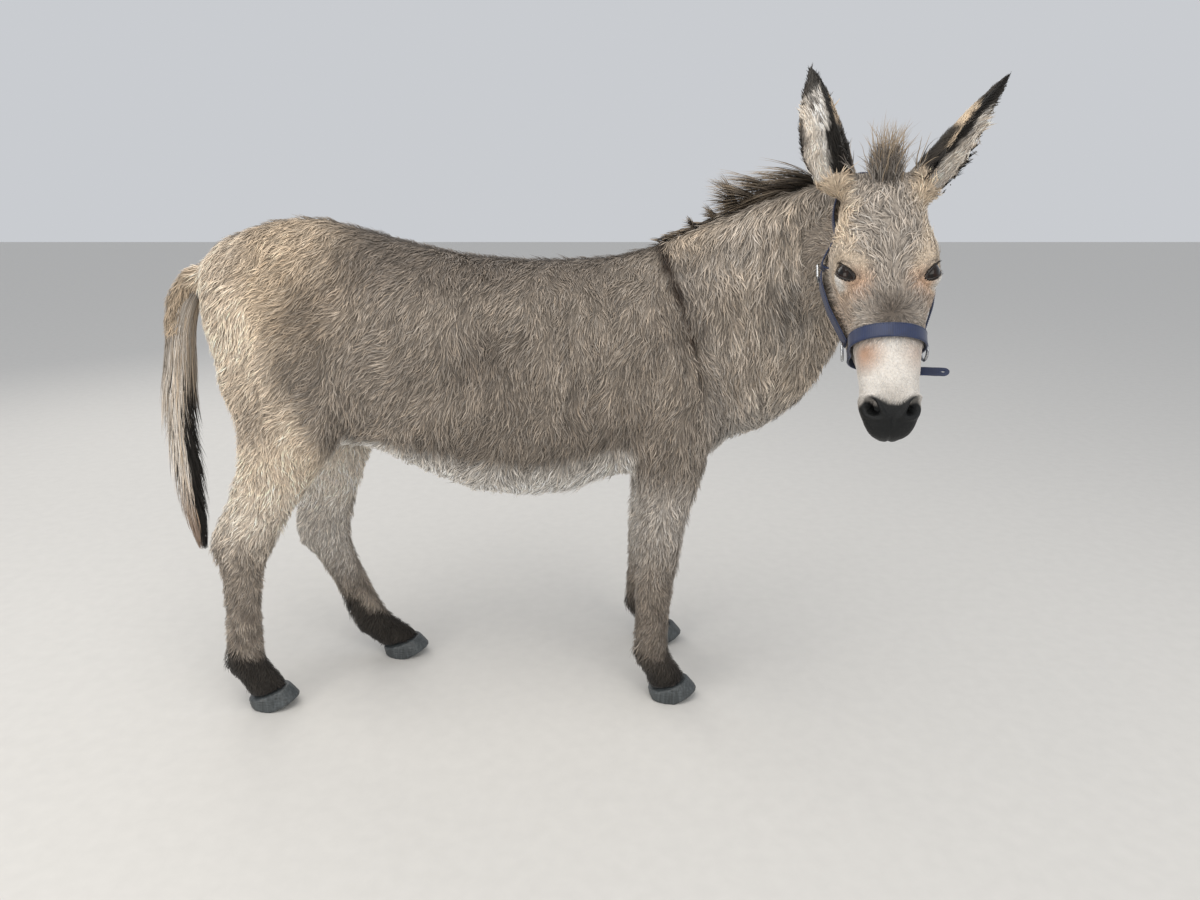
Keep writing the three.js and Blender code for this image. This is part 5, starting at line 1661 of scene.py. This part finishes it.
class DONKEY_OT_headcollar(bpy.types.Operator):
    """Lays the headcollar's webbing over the coat, with its rings, buckles and spare end"""

    bl_idname = "donkey.headcollar"
    bl_label = "Headcollar"

    def execute(self, context):
        tack = settings("tack")
        self.web, metal = webbing_material(tack), metal_material(tack)
        self.thread = thread_material(tack)
        self.noseband()
        self.crown()
        for side, sign in SIDES.items():
            self.cheek(side, sign)
        rings = {name: (0.0007, 5) for name in ("cheek_ring_right", "cheek_ring_left", "chin_ring")}
        buckles = {name: (0.0006, 4) for name in ("buckle_right", "buckle_left")}
        for name, (grain, rounds) in (rings | buckles).items():
            shell = Shell(remeshed([closed_node(name, 0.0003)], grain))
            shell.write(relax(shell.co, shell.edges, rounds))
            finished(shown(shell.mesh, name + "_wire"), "metal", name, material=metal)
        self.spare()
        return {"FINISHED"}

    def strap(self, kind, suffix, node_name, path, across, hints, is_closed=False):
        """Webbing and stitches along a path, whose outer face looks the way that the hints do."""
        tangent = np.roll(path, -1, 0) - np.roll(path, 1, 0) if is_closed else np.gradient(path, axis=0)
        outward = unit(np.cross(unit(tangent), across))
        outward *= np.sign((outward * hints).sum(1))[:, None]
        across = np.tile(across, (len(path), 1))
        band(kind + "_webbing" + suffix, path, outward, across, is_closed, self.web, (node_name,))
        lines = [path, outward, across]
        if is_closed:
            lines = [np.concatenate([line, line[:1]]) for line in lines]
        stitches(kind + "_stitches" + suffix, *lines, self.thread)

    def round_head(self, node_name, centre, ways):
        """Distances from a place in the head's frame to a node's outer face, found by rays from outside."""
        starts = out_of(ON_HEAD, np.array(centre) + ways * RAY)
        return RAY - reaches(node_name, starts, -turned(ON_HEAD, ways))

    def noseband(self):
        a = np.linspace(0, math.tau, 96, endpoint=False)
        ways = np.stack([0 * a, np.sin(a), np.cos(a)], 1)
        centre = (NOSEBAND_AT, 0, -0.06)
        radius = evened(self.round_head("noseband", centre, ways), 5, is_closed=True) + 0.0006
        path = out_of(ON_HEAD, np.array(centre) + ways * radius[:, None])
        across = turned(ON_HEAD, (1, 0, 0))
        self.strap("noseband", "", "noseband", path, across, turned(ON_HEAD, ways), is_closed=True)

    def crown(self):
        """An arch from the right buckle over the nape to the left buckle."""
        along = (NAPE_AT - BUCKLE_AT).normalized()
        a = np.linspace(-1, 1, 90) * math.radians(96)
        ways = np.stack([along.x * np.cos(a), np.sin(a), along.z * np.cos(a)], 1)
        radius = evened(self.round_head("crown_strap", BUCKLE_AT, ways), 4) + 0.0004
        path = out_of(ON_HEAD, np.array(BUCKLE_AT) + ways * radius[:, None])
        across = turned(ON_HEAD, (along.z, 0, -along.x))
        self.strap("crown", "", "crown_strap", path, across, turned(ON_HEAD, ways))

    def cheek(self, side, sign):
        """A strap from a cheek ring up to its buckle."""
        along = BUCKLE_AT - RING_AT
        line = np.array([RING_AT + along * float(s) for s in np.linspace(0.09, 0.985, 40)])
        starts = out_of(ON_HEAD, line + np.array((0, sign * 0.3, 0)))
        inward = -turned(ON_HEAD, (0, sign, 0))
        depth = evened(reaches("cheek_strap_" + side, starts, np.tile(inward, (len(line), 1))), 4)
        path = starts + inward * (depth - 0.0005)[:, None]
        along.normalize()
        across = turned(ON_HEAD, (-along.z, 0, along.x))
        self.strap("cheek", "_" + side, "cheek_strap_" + side, path, across, -inward)

    def spare(self):
        """The noseband's free end, past its buckle, with its round tip and its hole."""
        shell = Shell(remeshed([closed_node("strap_end", 0.0001)], SPARE_GRAIN))
        shell.write(relax(shell.co, shell.edges, 4))
        q = into(ON_HEAD @ basis(Vector((0.318, 0.044, -0.112)), (0.12, 0.95, 0.2), (1, 0, 0.6)), shell.co)
        corner = np.empty(len(shell.mesh.loops), int)
        shell.mesh.loops.foreach_get("vertex_index", corner)
        layer = shell.mesh.uv_layers.new(name="Weave")
        layer.data.foreach_set("uv", q[corner][:, :2].astype(np.float32).ravel())
        finished(shown(shell.mesh, "spare_end_webbing"), "webbing", "strap_end", material=self.web)


# ---- Stage ----

LIGHTS = {  # name: place, size and share of the stage's light
    "overhead": ((-0.3, -0.9, 3.4), 2.6, 0.75), "front": ((1.9, -3.0, 2.2), 2.0, 0.50),
    "left": ((-2.6, -2.4, 1.2), 2.0, 0.55), "rear": ((-2.2, 2.6, 2.6), 2.0, 0.45),
}
LIT_PLACE = Vector((0, 0.1, 0.6))
ROOM_LIGHT = 0.74


class DONKEY_OT_stage(bpy.types.Operator):
    """Lays a pale floor and sets soft studio lights and the camera"""

    bl_idname = "donkey.stage"
    bl_label = "Stage"

    def execute(self, context):
        stage = settings("stage")
        bm = bmesh.new()
        bmesh.ops.create_grid(bm, x_segments=4, y_segments=4, size=14)
        mesh = bpy.data.meshes.new("floor")
        bm.to_mesh(mesh)
        bm.free()
        floor = shown(mesh, "floor")
        # Board, painted matt: pale and even, with faint clouds about 3 cm across
        made, tree = material("Studio floor, matt painted")
        place = node(tree, "ShaderNodeTexCoord").outputs["Object"]
        clouds = {"Vector": place, "Scale": 30.0, "Detail": 4.0}
        grain = node(tree, "ShaderNodeTexNoise", clouds).outputs["Fac"]
        shade = tuple(stage.floor)
        base = ramp(tree, grain, (0.3, tuple(v * 0.96 for v in shade)), (0.7, shade))
        surface(tree, node(tree, "ShaderNodeBsdfPrincipled", {"Base Color": base, "Roughness": 0.9}))
        mesh.materials.append(made)

        world = bpy.data.worlds.new("Studio")
        world.use_nodes = True
        background = world.node_tree.nodes["Background"]
        background.inputs["Color"].default_value = (*linear("#e6e9ee"), 1)
        background.inputs["Strength"].default_value = ROOM_LIGHT
        context.scene.world = world
        context.scene.view_settings.view_transform = "Standard"
        for name, (place, wide, power) in LIGHTS.items():
            light = bpy.data.lights.new(name, "AREA")
            light.energy = stage.light * power
            light.size = wide
            light.color = linear("#fffaf2")
            lamp = bpy.data.objects.new(name, light)
            lamp.location = place
            lamp.rotation_euler = (LIT_PLACE - Vector(place)).to_track_quat("-Z", "Y").to_euler()
            context.scene.collection.objects.link(lamp)

        lens = bpy.data.cameras.new("camera")
        lens.lens, lens.sensor_width = LENS, SENSOR
        lens.clip_start = 0.05
        camera = bpy.data.objects.new("camera", lens)
        camera.location = EYE
        camera.rotation_euler = (math.radians(90 - CAMERA_PITCH), 0, 0)
        context.scene.collection.objects.link(camera)
        context.scene.camera = camera
        return {"FINISHED"}


# ---- Add-on ----

OPERATORS = (DONKEY_OT_skin, DONKEY_OT_coat, DONKEY_OT_eyes, DONKEY_OT_hooves, DONKEY_OT_mane, DONKEY_OT_tail,
             DONKEY_OT_headcollar, DONKEY_OT_stage)


class DONKEY_PT_panel(bpy.types.Panel):
    """The donkey's pieces, in the order they are made"""

    bl_idname = "DONKEY_PT_panel"
    bl_label = "Donkey"
    bl_space_type = "VIEW_3D"
    bl_region_type = "UI"
    bl_category = "Donkey"

    def draw(self, context):
        for operator in OPERATORS:
            self.layout.operator(operator.bl_idname)
        for name, group in GROUPS.items():
            box = self.layout.box()
            for key in group.__annotations__:
                box.prop(getattr(context.scene, name), key)


def register():
    for group in (*GROUPS.values(), *OPERATORS, DONKEY_PT_panel):
        bpy.utils.register_class(group)
    for name, group in GROUPS.items():
        setattr(bpy.types.Scene, name, PointerProperty(type=group))


def unregister():
    for name in GROUPS:
        delattr(bpy.types.Scene, name)
    for group in reversed((*GROUPS.values(), *OPERATORS, DONKEY_PT_panel)):
        bpy.utils.unregister_class(group)


def main():
    register()
    for operator in OPERATORS:
        category, name = operator.bl_idname.split(".")
        getattr(getattr(bpy.ops, category), name)()


if __name__ == "__main__":
    main()
